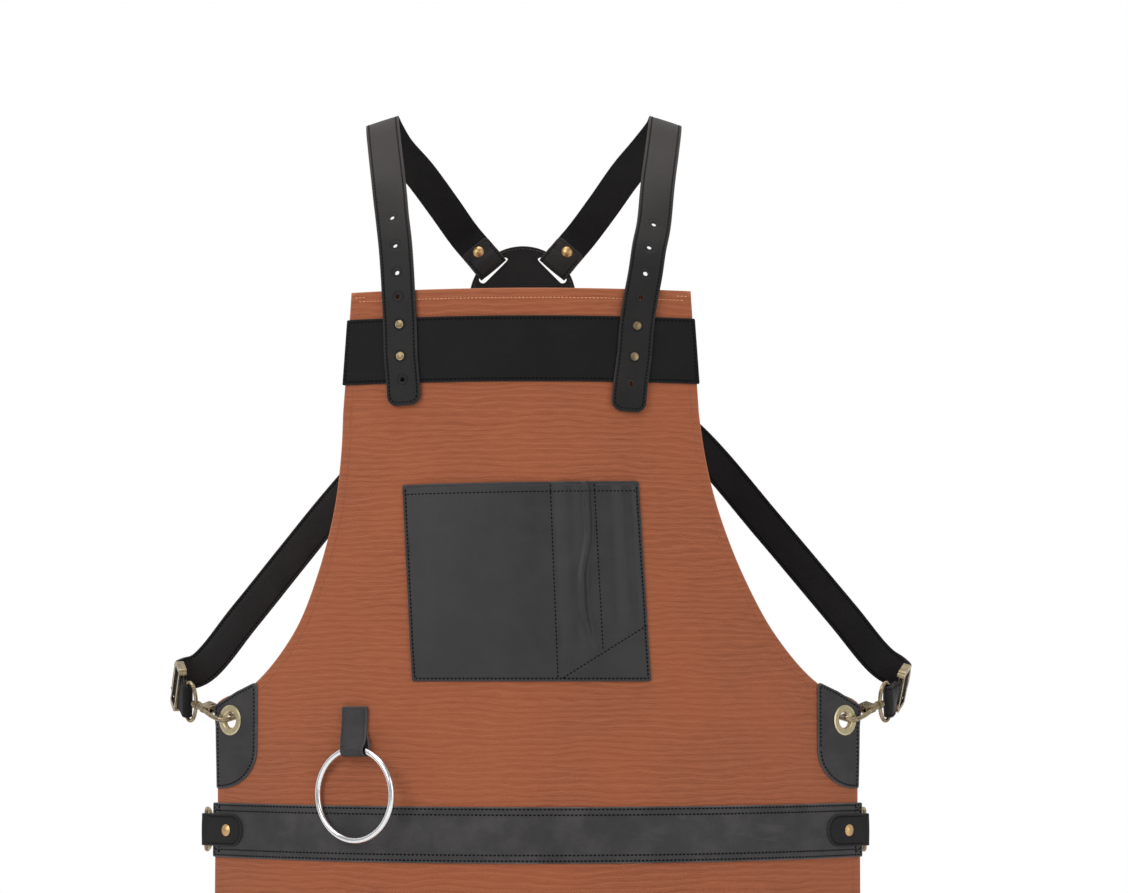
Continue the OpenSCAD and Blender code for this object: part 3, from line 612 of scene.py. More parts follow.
SATIN_BRASS = metal_material("satin_brass", (0.62, 0.54, 0.34), (0.38, 0.31, 0.17), 0.30, 0.45)
RIVET_GOLD = metal_material("rivet_brass", (0.62, 0.41, 0.19), (0.36, 0.21, 0.09), 0.40, 0.5)
STUD_BRASS = metal_material("stud_brass", (0.30, 0.23, 0.13), (0.08, 0.055, 0.035), 0.42, 0.8)
STEEL = metal_material("polished_steel", (0.82, 0.83, 0.84), (0.62, 0.62, 0.63), 0.12, 0.25, 0.04)
SPRING_STEEL = metal_material("spring_wire", (0.60, 0.60, 0.59), (0.32, 0.31, 0.30), 0.28, 0.4)

# ---- the wrapped front ----


def front_normal(x):
    """The angle round the panel at x, and the way out there."""
    a = np.arcsin((arr(x) - WAIST_X) / BODY_R)
    return a, np.sin(a), -np.cos(a)


def body_y(x, out=0.0):
    return BODY_R - sqrt((BODY_R + out) ** 2 - (x - WAIST_X) ** 2)


# places with a fitting, and how far round each the cloth lies close
QUIET = (
    [(x, z, 42) for s in SIDES for x, z in HOLES[s][3:]]
    + [(WAIST_X + s * GROMMET_X, GROMMET_Z, 50) for s in SIDES]
    + [(WAIST_X + s * RIVET_X, MID_WAIST, 60) for s in SIDES]
    + [(WAIST_X + s * WAIST_HALF, MID_WAIST, 60) for s in SIDES]
    + [(TOWEL_X, -605, 40), (TOWEL_X, -660, 50)]
)


def drape(x, z):
    """How far the cloth stands off its round, in mm: nearly none at the fittings, soft flutes in the skirt."""
    x, z = arr(x), arr(z)
    skirt = smooth(WAIST_LOW, HEM_Z, z)
    flutes = 6.5 * np.sin((x - 10) / 43.0 + 0.4 * np.sin(z / 130)) * np.cos((x + 70) / 151.0)
    folds = 1.5 * np.sin((x + 0.45 * z) / 47.0) * bump(z, -610, 75) * smooth(60, 150, np.abs(x - WAIST_X))
    arms = 1.6 * np.sin(z / 31.0 + x / 60.0) * smooth(120, 210, np.abs(x)) * bump(z, -470, 110)
    bib = 1.3 * np.sin(x / 39.0 + z / 61.0) * bump(z, -335, 60)
    hem_pull = -1.2 * bump(z, WAIST_LOW, 22) + 0.8 * bump(z, -658, 20) * np.sin(x / 33.0)
    out = skirt * flutes + folds + arms + bib + hem_pull * smooth(0, 60, WAIST_HALF - np.abs(x - WAIST_X))
    for cx, cz, r in QUIET:
        out = out * (1 - np.exp(-(((x - cx) ** 2 + (z - cz) ** 2) / r**2)))
    return out


def on_front(x, z, h):
    """Part millimetres of a point h out from the canvas face, at x and z in the front view."""
    a, nx, ny = front_normal(x)
    r = BODY_R + arr(h) + drape(x, z)
    return np.stack([WAIST_X + r * np.sin(a), BODY_R - r * np.cos(a), arr(z) * np.ones_like(a)], -1)


def front_cut(flat):
    """Flat cloth coordinates of front-view points."""
    a = np.arcsin(np.clip((flat[:, 0] - WAIST_X) / BODY_R, -1, 1))
    return np.stack([BODY_R * a, flat[:, 1]], 1)


def flipped(place):
    return lambda a, b, h: place(a, b, -h)


def front_plate(name, outline, low, high, material, slot, **kw):
    """A plate laid on the wrapped front."""
    replaces = kw.pop("replaces", ())
    place = kw.pop("place", on_front)
    verts, faces, flat, distance, side = plate(outline, place, low, high, **kw)
    return add_piece(
        name, verts, faces, material, cut=front_cut(flat), edge=distance, side=side, replaces=replaces)


def mid_x(z):
    """The middle of the panel, which shifts from the bib to the waist."""
    return CHEST_X + (WAIST_X - CHEST_X) * min(1, max(0, (-300 - z) / 280))


arm_curve = [r for r in catmull([(z, w, 0) for z, w in ARM_ROWS], 8) if -584.5 <= r[0] <= -180.9]


def panel_outline():
    right = [(mid_x(z) + w, z) for z, w, _ in arm_curve]
    left = [(mid_x(z) - w, z) for z, w, _ in arm_curve][::-1]
    edge = [
        (320.5, CORNER_Z - 20), (319.5, WAIST_TOP), (WAIST_HALF, WAIST_LOW),
        (WAIST_HALF, HEM_Z + 8), (319, HEM_Z + 2.5), (313, HEM_Z),
    ]
    low = [(WAIST_X + x, z) for x, z in edge] + [(WAIST_X - x, z) for x, z in edge[::-1]]
    return dense(right + low + left, 5.0)


panel = panel_outline()
canvas = front_plate(
    "canvas", panel, -CANVAS, 0, CANVAS_MAT, "canvas", pitch=6.0, soft=0.5, replaces=("canvas_panel",),
    holes=[circle(WAIST_X + s * GROMMET_X, GROMMET_Z, 7.6, 20) for s in SIDES],
)

HEM_W = 10.0
hem = front_plate(
    "hem_turning", panel, -CANVAS - 0.75, -CANVAS - 0.02, CANVAS_MAT, "canvas",
    holes=[inset(anticlockwise(panel), HEM_W)], pitch=6.0, soft=0.3,
)


def hem_seam(distance, z_low, z_high, height):
    """Both sides of the hem between two levels."""
    loop = inset(anticlockwise(panel), distance)
    seams = []
    for s in SIDES:
        keep = [p for p in loop if z_low < p[1] < z_high and (p[0] - mid_x(p[1])) * s > 40]
        keep.sort(key=lambda p: p[1])
        if len(keep) > 3:
            seams.append(seam_on(on_front, keep, height))
    return seams


# Top edge in orange, sides and bottom tone on tone. Front seams, and the same two on the inside of the hem.
INSIDE_HEM = CANVAS + 0.85
top_left, top_right = mid_x(BIB_TOP) - BIB_HALF, mid_x(BIB_TOP) + BIB_HALF
top_seam, tack_z = [(top_left, BIB_TOP - 9.5), (top_right, BIB_TOP - 9.5)], BIB_TOP - 5.5
sew("stitching_bib_top", [
    seam_on(on_front, top_seam, 0.1),
    seam_on(on_front, [(top_left - 3, tack_z), (top_left + 9, tack_z)], 0.1),
    seam_on(on_front, [(top_right - 9, tack_z), (top_right + 3, tack_z)], 0.1),
    seam_on(flipped(on_front), top_seam, INSIDE_HEM),
], ORANGE_THREAD, run=2.9, radius=0.5)
bottom = [(WAIST_X - 312, HEM_Z + 9.2), (WAIST_X + 312, HEM_Z + 9.2)]
side_spans = ((CORNER_Z + 2, BAND_LOW - 3), (HEM_Z + 9, WAIST_LOW - 2), (PATCH_LOW - 5, PATCH_LOW - 1))
hem_lines = [line for low, high in side_spans for line in hem_seam(8.0, low, high, 0.08)]
hem_lines += [seam_on(on_front, bottom, 0.08), seam_on(flipped(on_front), bottom, INSIDE_HEM)]
sew("stitching_hem", hem_lines, RUST_THREAD, run=2.9, radius=0.36)

# ---- bands and patches ----


def band(name, corners, radius, seams, material, replaces, holes=()):
    """Leather on the panel, sewn round at each distance in seams from its edge."""
    outline = rounded(corners, radius, 4.0)
    front_plate(name, outline, 0.03, LEATHER, material, "leather", holes=holes, pitch=6.0, soft=0.7, replaces=replaces)
    lines = []
    for d in seams:
        loop = inset(anticlockwise(outline), d)
        lines.append(seam_on(on_front, loop, LEATHER + 0.02, closed=True))
    sew("stitching_" + name, lines, BLACK_THREAD, pitch=4.0, run=2.8, radius=0.6)


def across(middle, low, high):
    """Corners of a band from its half width and level at the foot and at the top."""
    (a, foot), (b, top) = low, high
    return [(middle - a, foot), (middle + a, foot), (middle + b, top), (middle - b, top)]


band("band_chest", across(CHEST_X, (174, BAND_LOW), (169.5, BAND_TOP)), 1.6, (2.8,), BAND_MAT, ("chest_band",))
band("band_waist", across(WAIST_X, (WAIST_HALF + 1, WAIST_LOW), (WAIST_HALF + 1, WAIST_TOP)), 1.6, (2.4, 7.8), BELT_MAT,
     ("waist_band",))

for s, name in SIDE_NAME.items():
    inner = WAIST_HALF - 46
    corners = [
        (WAIST_X + s * inner, PATCH_LOW), (WAIST_X + s * 319.5, PATCH_LOW), (WAIST_X + s * 321, CORNER_Z - 22),
        (WAIST_X + s * 323, CORNER_Z - 1), (WAIST_X + s * (inner + 22), CORNER_Z + 13.5),
        (WAIST_X + s * inner, CORNER_Z + 23.5),
    ]
    radii = [40, 2, 0, 2, 0, 3]
    if s < 0:
        corners, radii = corners[::-1], radii[::-1]
    band(f"patch_{name}", corners, radii, (2.8,), PATCH_MAT, (f"side_patch_{name}",),
         holes=[circle(WAIST_X + s * GROMMET_X, GROMMET_Z, 8.9, 28)])

# ---- chest pocket ----

POCKET_TOP, POCKET_LOW = -371.0, -561.0
POCKET_H = POCKET_TOP - POCKET_LOW
POCKET_CORNERS = [(-106, POCKET_LOW), (124, POCKET_LOW), (112, POCKET_TOP + 3), (-116, POCKET_TOP)]


def pocket_u(x, z):
    """x moved so that the pocket's leaning seams stand upright, as at its top."""
    return arr(x) - 10 * (POCKET_TOP - arr(z)) / POCKET_H


def pocket_lift(x, z, up):
    """The pocket's standing off: stitched flat at its sides, foot and seams, and loose at its mouth."""
    u = pocket_u(x, z)
    t = np.clip((POCKET_TOP - arr(z)) / POCKET_H, 0, 1)
    foot = smooth(1.0, 0.86, t)
    wide = smooth(-114, -92, u) * smooth(26, 8, u) * (1.6 + 1.3 * (1 - t))
    fold = 61.5 - 9 * smooth(0.22, 0.5, t) + 6 * smooth(0.62, 0.85, t)  # the crease wanders as it goes down
    pen = bump(u, 44, 11) * 3.0 + bump(u, fold, 2.6) * 4.2 * smooth(0.92, 0.5, t) - bump(u, fold + 5.0, 2.4) * 1.2
    pen = pen * smooth(28, 33, u) * smooth(69.5, 66, u)
    outer = bump(u, 84, 9) * 2.2 + bump(u, 104 + 3 * t, 6) * 2.4
    outer = outer * smooth(68.5, 73, u) * smooth(116, 110, u)
    slant = arr(z) + 559 - 0.6295 * (arr(x) - 37.4)  # height over the slanting seam
    pen, outer = pen * smooth(0, 26, slant), outer * smooth(0, 26, slant)
    sag = 0.5 * np.sin(u / 15.0 + t * 3) * bump(t, 0.75, 0.2) * smooth(26, 10, u)
    return foot * (wide + pen + outer + sag)


pocket_outline = rounded(POCKET_CORNERS, 2.0, 3.0)
cols = np.concatenate([np.arange(-112, 26, 6), np.arange(26, 124, 2.0)])
front_plate(
    "pocket_leather", pocket_outline, 0.25, 2.0, POCKET_MAT, "pocket_leather", pitch=4.0, cols=cols,
    rows=np.arange(POCKET_LOW + 3, POCKET_TOP, 5.0), soft=0.6, relief=pocket_lift, replaces=("pocket",),
)


def on_pocket(x, z, h):
    return on_front(x, z, arr(h) + pocket_lift(x, z, 1))


def pocket_line(points, closed=False):
    return seam_on(on_pocket, points, 2.02, closed)


sew("stitching_pocket", [
    pocket_line([(-113.2, -373), (-103.2, -558.4), (121.2, -558.4), (109.4, -371)]),
    pocket_line([(-112.8, -380.5), (109.8, -377.5)]),
    pocket_line([(27, -370), (34.5, -559)]),
    pocket_line([(69, -369), (77.7, -532)]),
    pocket_line([(37.4, -559), (121.6, -506)]),
], BLACK_THREAD, pitch=3.9, run=2.7, radius=0.6)

# ---- ribbons: straps, tabs and the towel loop ----


class Ribbon:
    """A strap's middle line with its width direction, by distance along it."""

    def __init__(self, rows, steps=10):
        fine = catmull(rows, steps)
        self.at, self.wide = fine[:, :3], fine[:, 3:6]
        self.s = np.concatenate([[0], np.cumsum(norm(np.diff(self.at, axis=0), axis=1))])
        head = np.gradient(self.at, self.s, axis=0)
        self.head = head / norm(head, axis=1)[:, None]
        w = self.wide - (self.wide * self.head).sum(1)[:, None] * self.head
        self.wide = w / norm(w, axis=1)[:, None]
        self.out = np.cross(self.wide, self.head)
        self.length = self.s[-1]
        self.tight = norm(np.gradient(self.head, self.s, axis=0), axis=1)

    def place(self, a, b, h):
        """Points a across, b along and h out from the middle line."""
        a, b, h = (arr(q) for q in (a, b, h))
        axes = (self.at, self.wide, self.out)
        put = [np.stack([np.interp(b, self.s, axis[:, c]) for c in range(3)], -1) for axis in axes]
        return put[0] + put[1] * a[..., None] + put[2] * h[..., None]

    def rows(self, coarse, fine):
        """Distances along it, close together where it turns tightly."""
        out, s = [], 0.4
        while s < self.length - 0.3:
            out.append(s)
            turn = max(np.interp(s + d, self.s, self.tight) for d in (-2, 0, 2))
            s += max(fine, min(coarse, 0.22 / max(turn, 1e-4)))
        return np.array(out)

    def nearest(self, p):
        return float(self.s[np.argmin(norm(self.at - arr(p)[:3], axis=1))])


def mirror(points):
    return [(-x, b) for x, b in points]


def ribbon_outline(ribbon, half, start_r, end_r, rows):
    """The flat outline of a strip with round ends, stepped along its sides where its rows are."""
    right = [(half, b) for b in rows if start_r < b < ribbon.length - end_r]

    def quarter(r, first, count):
        return [(half - r * (1 - cos(t)), r * (1 - sin(t))) for t in np.linspace(first, pi / 2, count)]

    foot = mirror([(half, start_r)] + quarter(start_r, 0.17, 9))
    head = [(x, ribbon.length - b) for x, b in [(half, end_r)] + quarter(end_r, 0.25, 6)]

    def end(side):
        return side + list(dense([side[-1], *mirror(side[-1:])], 4.0, False)[1:-1]) + mirror(side[::-1])

    return np.array(end(foot) + right + end(head) + mirror(right[::-1]))


STRAP_COLS = (-15.2, -13.9, -11.5, -8, -4, 0, 4, 8, 11.5, 13.9, 15.2)


def strap_relief(a, b, up):
    """Plump between the seams, drawn in along them."""
    a = np.abs(arr(a))
    lift = -0.28 * bump(a, 14.0, 1.5) + 0.30 * (1 - (a / 12.5) ** 2).clip(0, 1)
    return np.where(up > 0.5, lift, np.where(up < 0.5, -0.35 * lift, 0))


def domed(half, rise):
    """A relief that stands rise high along the middle of the upper side, and nothing at half and beyond."""
    return lambda a, b, up: np.where(up > 0.5, rise * (1 - (np.abs(a) / half) ** 2).clip(0, 1), 0)


def strap_piece(name, ribbon, half, thick, start_r, end_r, material, holes=(), replaces=(), cols=STRAP_COLS,
                relief=strap_relief, coarse=4.5, fine=0.9):
    """A strip of leather along a ribbon, with one corner radius for each end."""
    rows = ribbon.rows(coarse, fine)
    outline = ribbon_outline(ribbon, half, start_r, end_r, rows)
    verts, faces, flat, distance, side = plate(
        outline, ribbon.place, -thick / 2, thick / 2, holes=holes, pitch=4.0, rows=rows, cols=cols, soft=0.8,
        relief=relief)
    return add_piece(name, verts, faces, material, cut=flat, edge=distance, side=side, replaces=replaces)


def front_pt(x, z, back=0.0):
    """A row of a shoulder strap that lies on the chest band, or stands back from it."""
    a = asin((x - WAIST_X) / BODY_R)
    out = LEATHER + STRAP_T / 2
    return [x + out * sin(a), body_y(x) - out * cos(a) + back, z, cos(a), sin(a), 0]


DISC_C = vec(CHEST_X - 1, 235, -159)
DISC_R, DISC_T = 56.0, 3.0
SLOT_AT = DISC_R - 13
SLOT_W, SLOT_L = 9.0, 38.0
TURN_R = DISC_T / 2 + 0.2 + STRAP_T / 2
FLAT_R = STRAP_T / 2 + 0.15


LOW_TURN = {-1: 41, 1: 50}  # how far each lower slot lies round from straight down, in degrees


def slot_axes(s, up):
    """A slot's centre, the way its strap leaves, and the way across it."""
    at = radians(45 if up > 0 else LOW_TURN[s])
    go = radians(40 if up > 0 else LOW_TURN[s])
    c = DISC_C + SLOT_AT * vec(s * sin(at), 0, up * cos(at))
    u = vec(s * sin(go), 0, up * cos(go))
    v = vec(u[2], 0, -u[0]) if up > 0 else vec(-u[2] * s, 0, u[0] * s)
    return c, u, v


def slot_pt(s, up, k, q):
    c, u, v = slot_axes(s, up)
    return list(c + u * k + vec(0, q, 0)) + list(v)


def slot_rows(s, up):
    """A strap over the disc, round the slot's edge and back under itself."""
    arc = [slot_pt(s, up, SLOT_W / 2 + TURN_R * cos(a), TURN_R * sin(a))
           for a in np.radians(np.arange(90, 271, 22.5))]
    return (
        [slot_pt(s, up, k, q) for k, q in ((48, FLAT_R), (30, FLAT_R), (19, FLAT_R), (14.8, TURN_R), (9, TURN_R))]
        + arc
        + [slot_pt(s, up, k, -q) for k, q in ((9, TURN_R), (14.8, TURN_R), (19, FLAT_R), (33, FLAT_R))]
    )


# over the shoulder: x, y, z, the width direction for the right side, and a move across
OVER_ROWS = [
    (133, 58, -70, 0.97, 0.02, -0.15, 0), (138.5, 80, -30, 0.96, 0, -0.26, 0), (141.5, 93, -6, 0.95, 0, -0.31, 0),
    (142, 103, 1.5, 0.95, 0, -0.31, 0), (139, 114, -4, 0.94, 0, -0.34, 0), (127, 136, -19, 0.90, 0, -0.43, -2),
    (106, 168, -39, 0.86, 0, -0.50, -2), (83, 205, -66, 0.83, 0, -0.56, -2),
]


def shoulder_rows(s):
    f = vec(*FOOT[s])
    d = unit(vec(*HOLES[s][6]) - f)
    front = [front_pt(*(f + d * k)) for k in (0, 10)]
    front += [front_pt(*HOLES[s][k]) for k in (6, 5, 4, 3)]
    front += [front_pt(*HOLES[s][k], HOLE_BACK[k]) for k in (2, 1, 0)]
    over = [[s * x + move, y, z, wx, wy, s * wz] for x, y, z, wx, wy, wz, move in OVER_ROWS]
    return front + over + slot_rows(s, 1)


# the way each snap hook lies, from its grommet, and how far out its eye's bar is
RISE, ROLL, BAR_U = radians(17), radians(15), 66.0


def hook_axes(s):
    """The grommet's centre, then the axes along the hook, across its eye and out to its front branch."""
    x = WAIST_X + s * GROMMET_X
    a = asin((x - WAIST_X) / BODY_R)
    centre = vec(x, body_y(x), GROMMET_Z)
    n, t, up = vec(sin(a), -cos(a), 0), vec(s * cos(a), abs(sin(a)), 0), vec(0, 0, 1)
    u = t * cos(RISE) + up * sin(RISE)
    v0 = up * cos(RISE) - t * sin(RISE)
    v = v0 * cos(ROLL) + n * sin(ROLL)
    w = n * cos(ROLL) - v0 * sin(ROLL)
    return centre, u, v, w


def run_axes(s):
    """The way a lower strap leaves the hook, the way across it, and the way out of its face."""
    t = unit([-0.30, 0.80, 0.52] if s < 0 else [0.42, 0.76, 0.50])
    w = vec(0.16, -0.45, 0.88)
    w = unit(w - np.dot(w, t) * t)
    return t, w, s * np.cross(t, w)


EYE_TURN = 2 + 0.3 + STRAP_T / 2  # the bar, a gap and half the strap
# the free run of each lower strap: x, y, z and the width direction
FALL_ROWS = {
    -1: [(-120, 236, -285, -0.755, 0, 0.656), (-194, 228, -370, -0.755, 0, 0.656), (-242, 220, -431, -0.755, 0, 0.656),
         (-290, 211, -493, -0.74, 0, 0.67), (-334, 203, -547, -0.72, -0.02, 0.69)],
    1: [(102, 237, -246, 0.643, 0, 0.766), (176, 230, -308, 0.67, 0, 0.74), (252, 220, -398, 0.755, 0, 0.656),
        (329, 209, -492, 0.75, 0, 0.66), (368, 202, -540, 0.70, -0.02, 0.72)],
}


def back_rows(s):
    centre, u, v, _ = hook_axes(s)
    bar = centre + u * BAR_U
    t, w, n = run_axes(s)
    bt = unit(t - np.dot(t, v) * v)
    bn = s * np.cross(bt, v)

    def run(k, q):
        return list(bar + t * k + n * q) + list(w)

    def fold(k, q):
        return list(bar + bt * k + bn * q) + list(v)

    inner = EYE_TURN - STRAP_T - 0.3
    rows = slot_rows(s, -1)[::-1] + [list(r) for r in FALL_ROWS[s]]
    rows += [run(k, EYE_TURN) for k in (49, 45.5, 38, 30, 14)] + [fold(5, EYE_TURN)]
    rows += [fold(-EYE_TURN * sin(a), EYE_TURN * cos(a)) for a in np.radians(np.arange(0, 181, 22.5))]
    rows += [fold(5, -2), run(10, inner), run(14, inner)]
    return rows


def ribbon_line(ribbon, a, b, low, high):
    """A seam along a strap at height low, with the normals towards high."""
    at = ribbon.place(a, b, np.full(len(b), low))
    return at, ribbon.place(a, b, np.full(len(b), high)) - at


def strap_seams(ribbon, height, b0, b1):
    """Two lines of stitches near the edges of a strap."""
    bs = np.arange(b0, b1, 2.0)
    edges = [np.full(len(bs), side * (STRAP_HALF - 3.0)) for side in SIDES]
    return [ribbon_line(ribbon, a, bs, height - 0.22, height + 1.0) for a in edges]


HALF_T = STRAP_T / 2
HOLE_R = 2.3
HOLE_BACK = (26, 12, 3, 0, 0, 0, 0)  # how far each hole of a shoulder strap stands back from the band
for s, name in SIDE_NAME.items():
    ribbon = Ribbon(shoulder_rows(s))
    spots = [ribbon.nearest(front_pt(*at, back)) for at, back in zip(HOLES[s], HOLE_BACK)]
    holes = [circle(0, b, HOLE_R, 18) for b in spots]
    strap_piece(f"strap_shoulder_{name}", ribbon, STRAP_HALF, STRAP_T, 10, 5, STRAP_MAT, holes=holes,
                replaces=(f"shoulder_strap_{name}",))
    lines = strap_seams(ribbon, HALF_T, 9, ribbon.length - 6)
    end = [(-14 + 7.5 * (1 - cos(t)), 10.5 - 7.5 * sin(t)) for t in np.linspace(0, pi / 2, 8)]
    end += [(-x, b) for x, b in end[::-1]]
    lines.append(ribbon_line(ribbon, [p[0] for p in end], [p[1] for p in end], HALF_T - 0.1, HALF_T + 1.0))
    sew(f"stitching_shoulder_{name}", lines, BLACK_THREAD, run=2.7, radius=0.5)

    ribbon = Ribbon(back_rows(s))
    strap_piece(f"strap_back_{name}", ribbon, STRAP_HALF, STRAP_T, 5, 3, STRAP_MAT,
                replaces=(f"back_strap_{name}",))
    both = strap_seams(ribbon, HALF_T, 5, ribbon.length - 5) + strap_seams(ribbon, -HALF_T, 70, ribbon.length - 60)
    sew(f"stitching_back_{name}", both, BLACK_THREAD, run=2.7, radius=0.5)

# ---- back disc ----


def on_disc(a, b, h):
    a, b, h = (arr(q) for q in (a, b, h))
    return np.stack([DISC_C[0] + a, DISC_C[1] - h, DISC_C[2] + b], -1)


def slot_outline(s, up):
    c, u, v = slot_axes(s, up)
    c, u, v = (q[[0, 2]] for q in (c - DISC_C, u, v))
    half, r = (SLOT_L - SLOT_W) / 2, SLOT_W / 2
    pts = []
    for side in SIDES[::-1]:
        for t in np.linspace(-pi / 2, pi / 2, 9):
            along, out = side * (half + r * cos(t)), side * r * sin(t)
            if out < 0 and up > 0:  # cut as a wedge, narrow at its upper end
                out *= 0.62 + 0.38 * s * along / (half + r)
            pts.append(c + v * along + u * out)
    return dense(pts, 4.0)


disc_outline = circle(0, 0, DISC_R, 110)
verts, faces, flat, distance, side = plate(
    disc_outline, on_disc, -DISC_T / 2, DISC_T / 2, holes=[slot_outline(s, up) for s in SIDES for up in SIDES],
    pitch=5.0, soft=0.8)
add_piece("disc_leather", verts, faces, LEATHER_MAT, cut=flat, edge=distance, side=side,
          replaces=("back_disc",))
ring = circle(0, 0, DISC_R - 3, 160)
disc_faces = (on_disc, flipped(on_disc))
sew("stitching_disc", [seam_on(face, ring, DISC_T / 2 + 0.02, True) for face in disc_faces], GREY_THREAD)

# ---- waist tabs ----

TAB_H, TAB_L, TAB_T = 32.0, 53.0, 1.9
TAB_ROUND, TAB_BEND = TAB_H / 2 - 0.4, 3.45  # the free end's corners, and the turn round the ring's bar
TAB_REACH = {-1: 12, 1: 5.5}  # how far each tab stands past the end of the waist


def tab_rows(s):
    """Round the end of the waist: front layer, round the ring's bar, and back inside."""
    end = asin(WAIST_HALF / BODY_R) + TAB_REACH[s] / BODY_R
    start = end - TAB_L / BODY_R
    ring_c = vec(WAIST_X + s * (BODY_R + 1) * sin(end), BODY_R - (BODY_R + 1) * cos(end))

    def at(angle, out):
        r = BODY_R + out
        return [WAIST_X + s * r * sin(angle), BODY_R - r * cos(angle), MID_WAIST, 0, 0, -s]

    rows = [at(a, 3.0) for a in np.linspace(start, end - 4 / BODY_R, 7)]
    n = vec(s * sin(end), -cos(end))
    t = vec(s * cos(end), sin(end))
    for q in np.radians(np.arange(55, -86, -20)):
        p = ring_c + n * TAB_BEND * sin(q) + t * TAB_BEND * cos(q)
        rows.append([p[0], p[1], MID_WAIST, 0, 0, -s])
    rows += [at(a, -3.0) for a in np.linspace(end - 5 / BODY_R, start + 11 / BODY_R, 5)]
    return rows


for s, name in SIDE_NAME.items():
    ribbon = Ribbon(tab_rows(s))
    strap_piece(f"tab_leather_{name}", ribbon, TAB_H / 2, TAB_T, TAB_ROUND, 3, LEATHER_MAT,
                cols=(-13.6, -12, -9, -5, 0, 5, 9, 12, 13.6), relief=domed(12, 0.25), replaces=(f"tab_{name}",),
                fine=0.8)
    loop = ribbon_outline(ribbon, TAB_H / 2, TAB_ROUND, 3, ribbon.rows(4.5, 0.8))
    front = [p for p in inset(anticlockwise(loop), 2.6) if p[1] < TAB_L - 3]
    # the seam starts at the gap that the dropped points leave
    cut_at = max(range(len(front)), key=lambda i: np.abs(front[i] - front[i - 1]).sum())
    front = front[cut_at:] + front[:cut_at]
    sew(f"stitching_tab_{name}", [seam_on(ribbon.place, front, 0.97)], BLACK_THREAD, radius=0.40)

# ---- towel loop ----

LOOP_Z, LOOP_OUT, LOOP_TURN = -627.0, 14.0, radians(32.5)
LOOP_BORE_R, LOOP_T = (6 + 3.0) / 2, 1.9  # the ring's wire with 3 mm to spare


def loop_rows():
    a = asin((TOWEL_X - WAIST_X) / BODY_R)
    n, t = vec(sin(a), -cos(a), 0), vec(cos(a), sin(a), 0)
    o = vec(TOWEL_X, body_y(TOWEL_X), 0)
    c = o + vec(0, -LOOP_OUT, LOOP_Z)
    ring_t = vec(cos(LOOP_TURN), -sin(LOOP_TURN), 0)
    ring_n = vec(-sin(LOOP_TURN), -cos(LOOP_TURN), 0)
    r = LOOP_BORE_R + 1.0

    def down(rows):
        return [list(o + n * q + vec(0, 0, z)) + list(t) for z, q in rows]

    front = down(((TOWEL_TOP, 3.3), (-591, 3.3), (-598, 3.3), (-611, 5.2)))
    turn = [list(c + ring_n * r * cos(q) + vec(0, 0, -r * sin(q))) + list(ring_t)
            for q in np.radians(np.arange(-50, 181, 23))]
    return front + turn + down(((-611, 2.8), (-598, 1.2), (TOWEL_TOP, 1.15)))


ribbon = Ribbon(loop_rows())
strap_piece("towel_loop", ribbon, 13.5, LOOP_T, 2, 2, PATCH_MAT,
            cols=(-11.6, -9.5, -6, -3, 0, 3, 6, 9.5, 11.6), relief=domed(10, 0.2), replaces=("ring_loop",), fine=0.8,
            coarse=3.5)
box_seam = [(-10.6, 2.6), (10.6, 2.6), (10.6, 24.5), (-10.6, 24.5)]
loop_lines = [seam_on(ribbon.place, box_seam, 0.97, closed=True)]
loop_lines += [seam_on(ribbon.place, [(x, 26.5), (x, 52)], 0.97) for x in (-10.6, 10.6)]
sew("stitching_towel_loop", loop_lines, BLACK_THREAD, pitch=3.6, run=2.5, radius=0.55)

# ---- metal: the frame's own parts, with finished surfaces ----

METALS = (  # a later row wins
    (OLD_BRASS, ("eye_", "claw_", "gate_", "slider_", "d_ring_")),
    (SATIN_BRASS, ("grommet_", "washer_")),
    (RIVET_GOLD, ("strap_rivet_", "tab_rivet_")),
    (STUD_BRASS, ("stud_",)),
    (STEEL, ("towel_ring",)),
    (SPRING_STEEL, ("gate_spring_",)),
)
SMOOTH_BELOW = radians(38)
for material, starts in METALS:
    for name, obj in nodes.items():
        if name.startswith(starts):
            obj.data.materials.clear()
            obj.data.materials.append(material)
            obj.data.shade_smooth()
            obj.data.set_sharp_from_angle(angle=SMOOTH_BELOW)
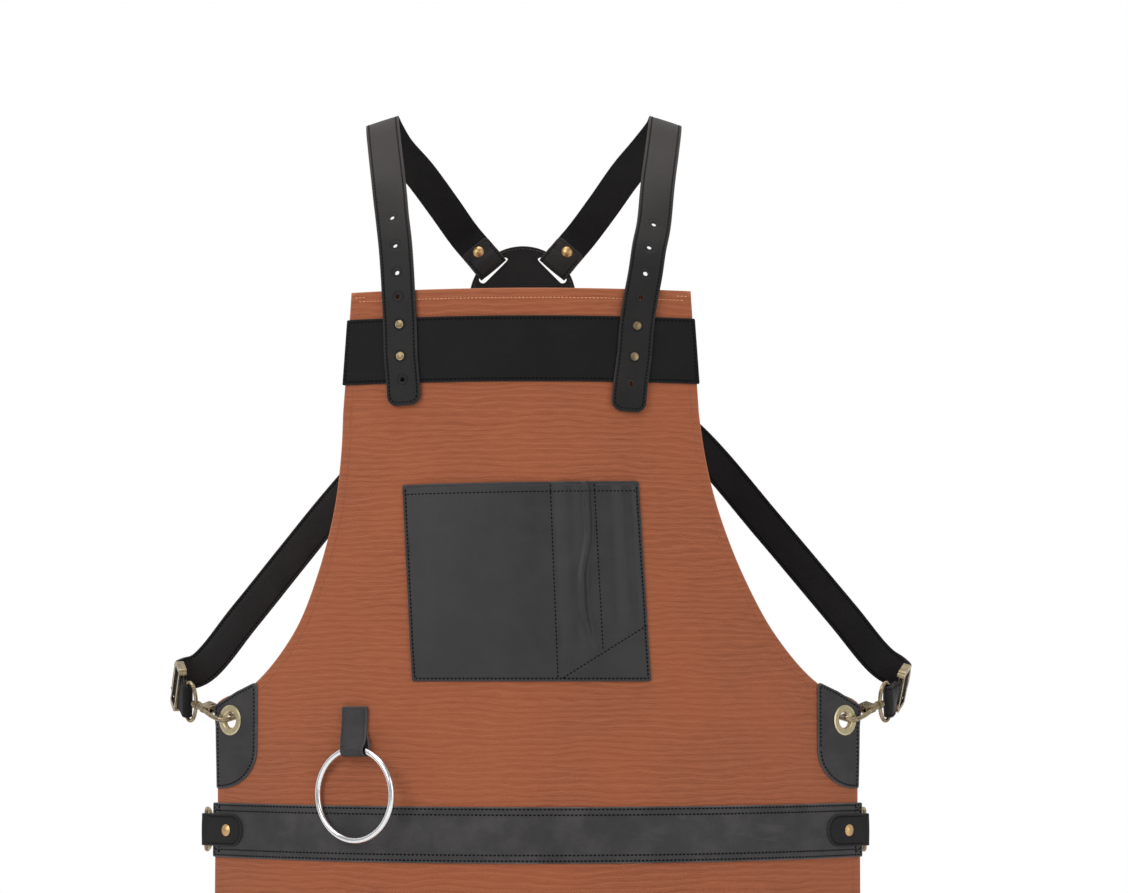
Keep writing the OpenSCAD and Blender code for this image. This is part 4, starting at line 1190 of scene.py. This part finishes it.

# ---- camera, floor and light ----

CAMERA_AT, CAMERA_LOOKS_UP = (0.0403, -2.810, -0.5754), 3.4  # metres and degrees
camera = bpy.data.cameras.new("camera")
camera.lens = 90
camera.clip_start, camera.clip_end = 0.05, 60
camera.shift_y = 0.073
eye = bpy.data.objects.new("camera", camera)
scene.collection.objects.link(eye)
eye.location = CAMERA_AT
eye.rotation_euler = (radians(90 + CAMERA_LOOKS_UP), 0, 0)
bpy.context.scene.camera = eye

FLOOR_Z, FLOOR_HALF = cad_box[0].z - 0.12, 3.4
bm = bmesh.new()
bmesh.ops.create_grid(bm, x_segments=1, y_segments=1, size=FLOOR_HALF)
floor_mesh = bpy.data.meshes.new("floor")
bm.to_mesh(floor_mesh)
bm.free()
floor = bpy.data.objects.new("floor", floor_mesh)
floor.location = (0, -0.6, FLOOR_Z)
scene.collection.objects.link(floor)
floor_mat, _ = new_material("pale_floor", (0.86, 0.86, 0.86), 0.8)
floor_mesh.materials.append(floor_mat)


def area_light(name, at, aim, size, power):
    light = bpy.data.lights.new(name, "AREA")
    light.shape = "RECTANGLE"
    light.size, light.size_y = size
    light.energy = power
    obj = bpy.data.objects.new(name, light)
    obj.location = at
    obj.rotation_euler = (Vector(aim) - Vector(at)).to_track_quat("-Z", "Y").to_euler()
    scene.collection.objects.link(obj)


AIM = (0.0, -0.05, -0.45)
area_light("key_light", (-1.7, -2.4, 0.9), AIM, (1.6, 1.8), 44)
area_light("fill_light", (2.1, -2.2, 0.1), AIM, (1.6, 2.2), 20)
area_light("top_light", (0.0, -0.3, 2.0), (0, 0, -0.2), (2.2, 1.6), 26)

world = bpy.data.worlds.new("studio")
world.use_nodes = True
scene.world = world
sky = Graph(world)
shade = world.node_tree.nodes["Background"]
# darker behind the camera, for the metal to reflect
facing = sky.split(sky.node("ShaderNodeTexCoord").outputs["Generated"])
behind = sky.between(facing[1], -0.25, 0.35, 0.42, 1.0)
sky.link(sky.mix(behind, (0, 0, 0), (1, 1, 1)), shade.inputs["Color"])
shade.inputs["Strength"].default_value = 1.0
scene.view_settings.view_transform = "Standard"
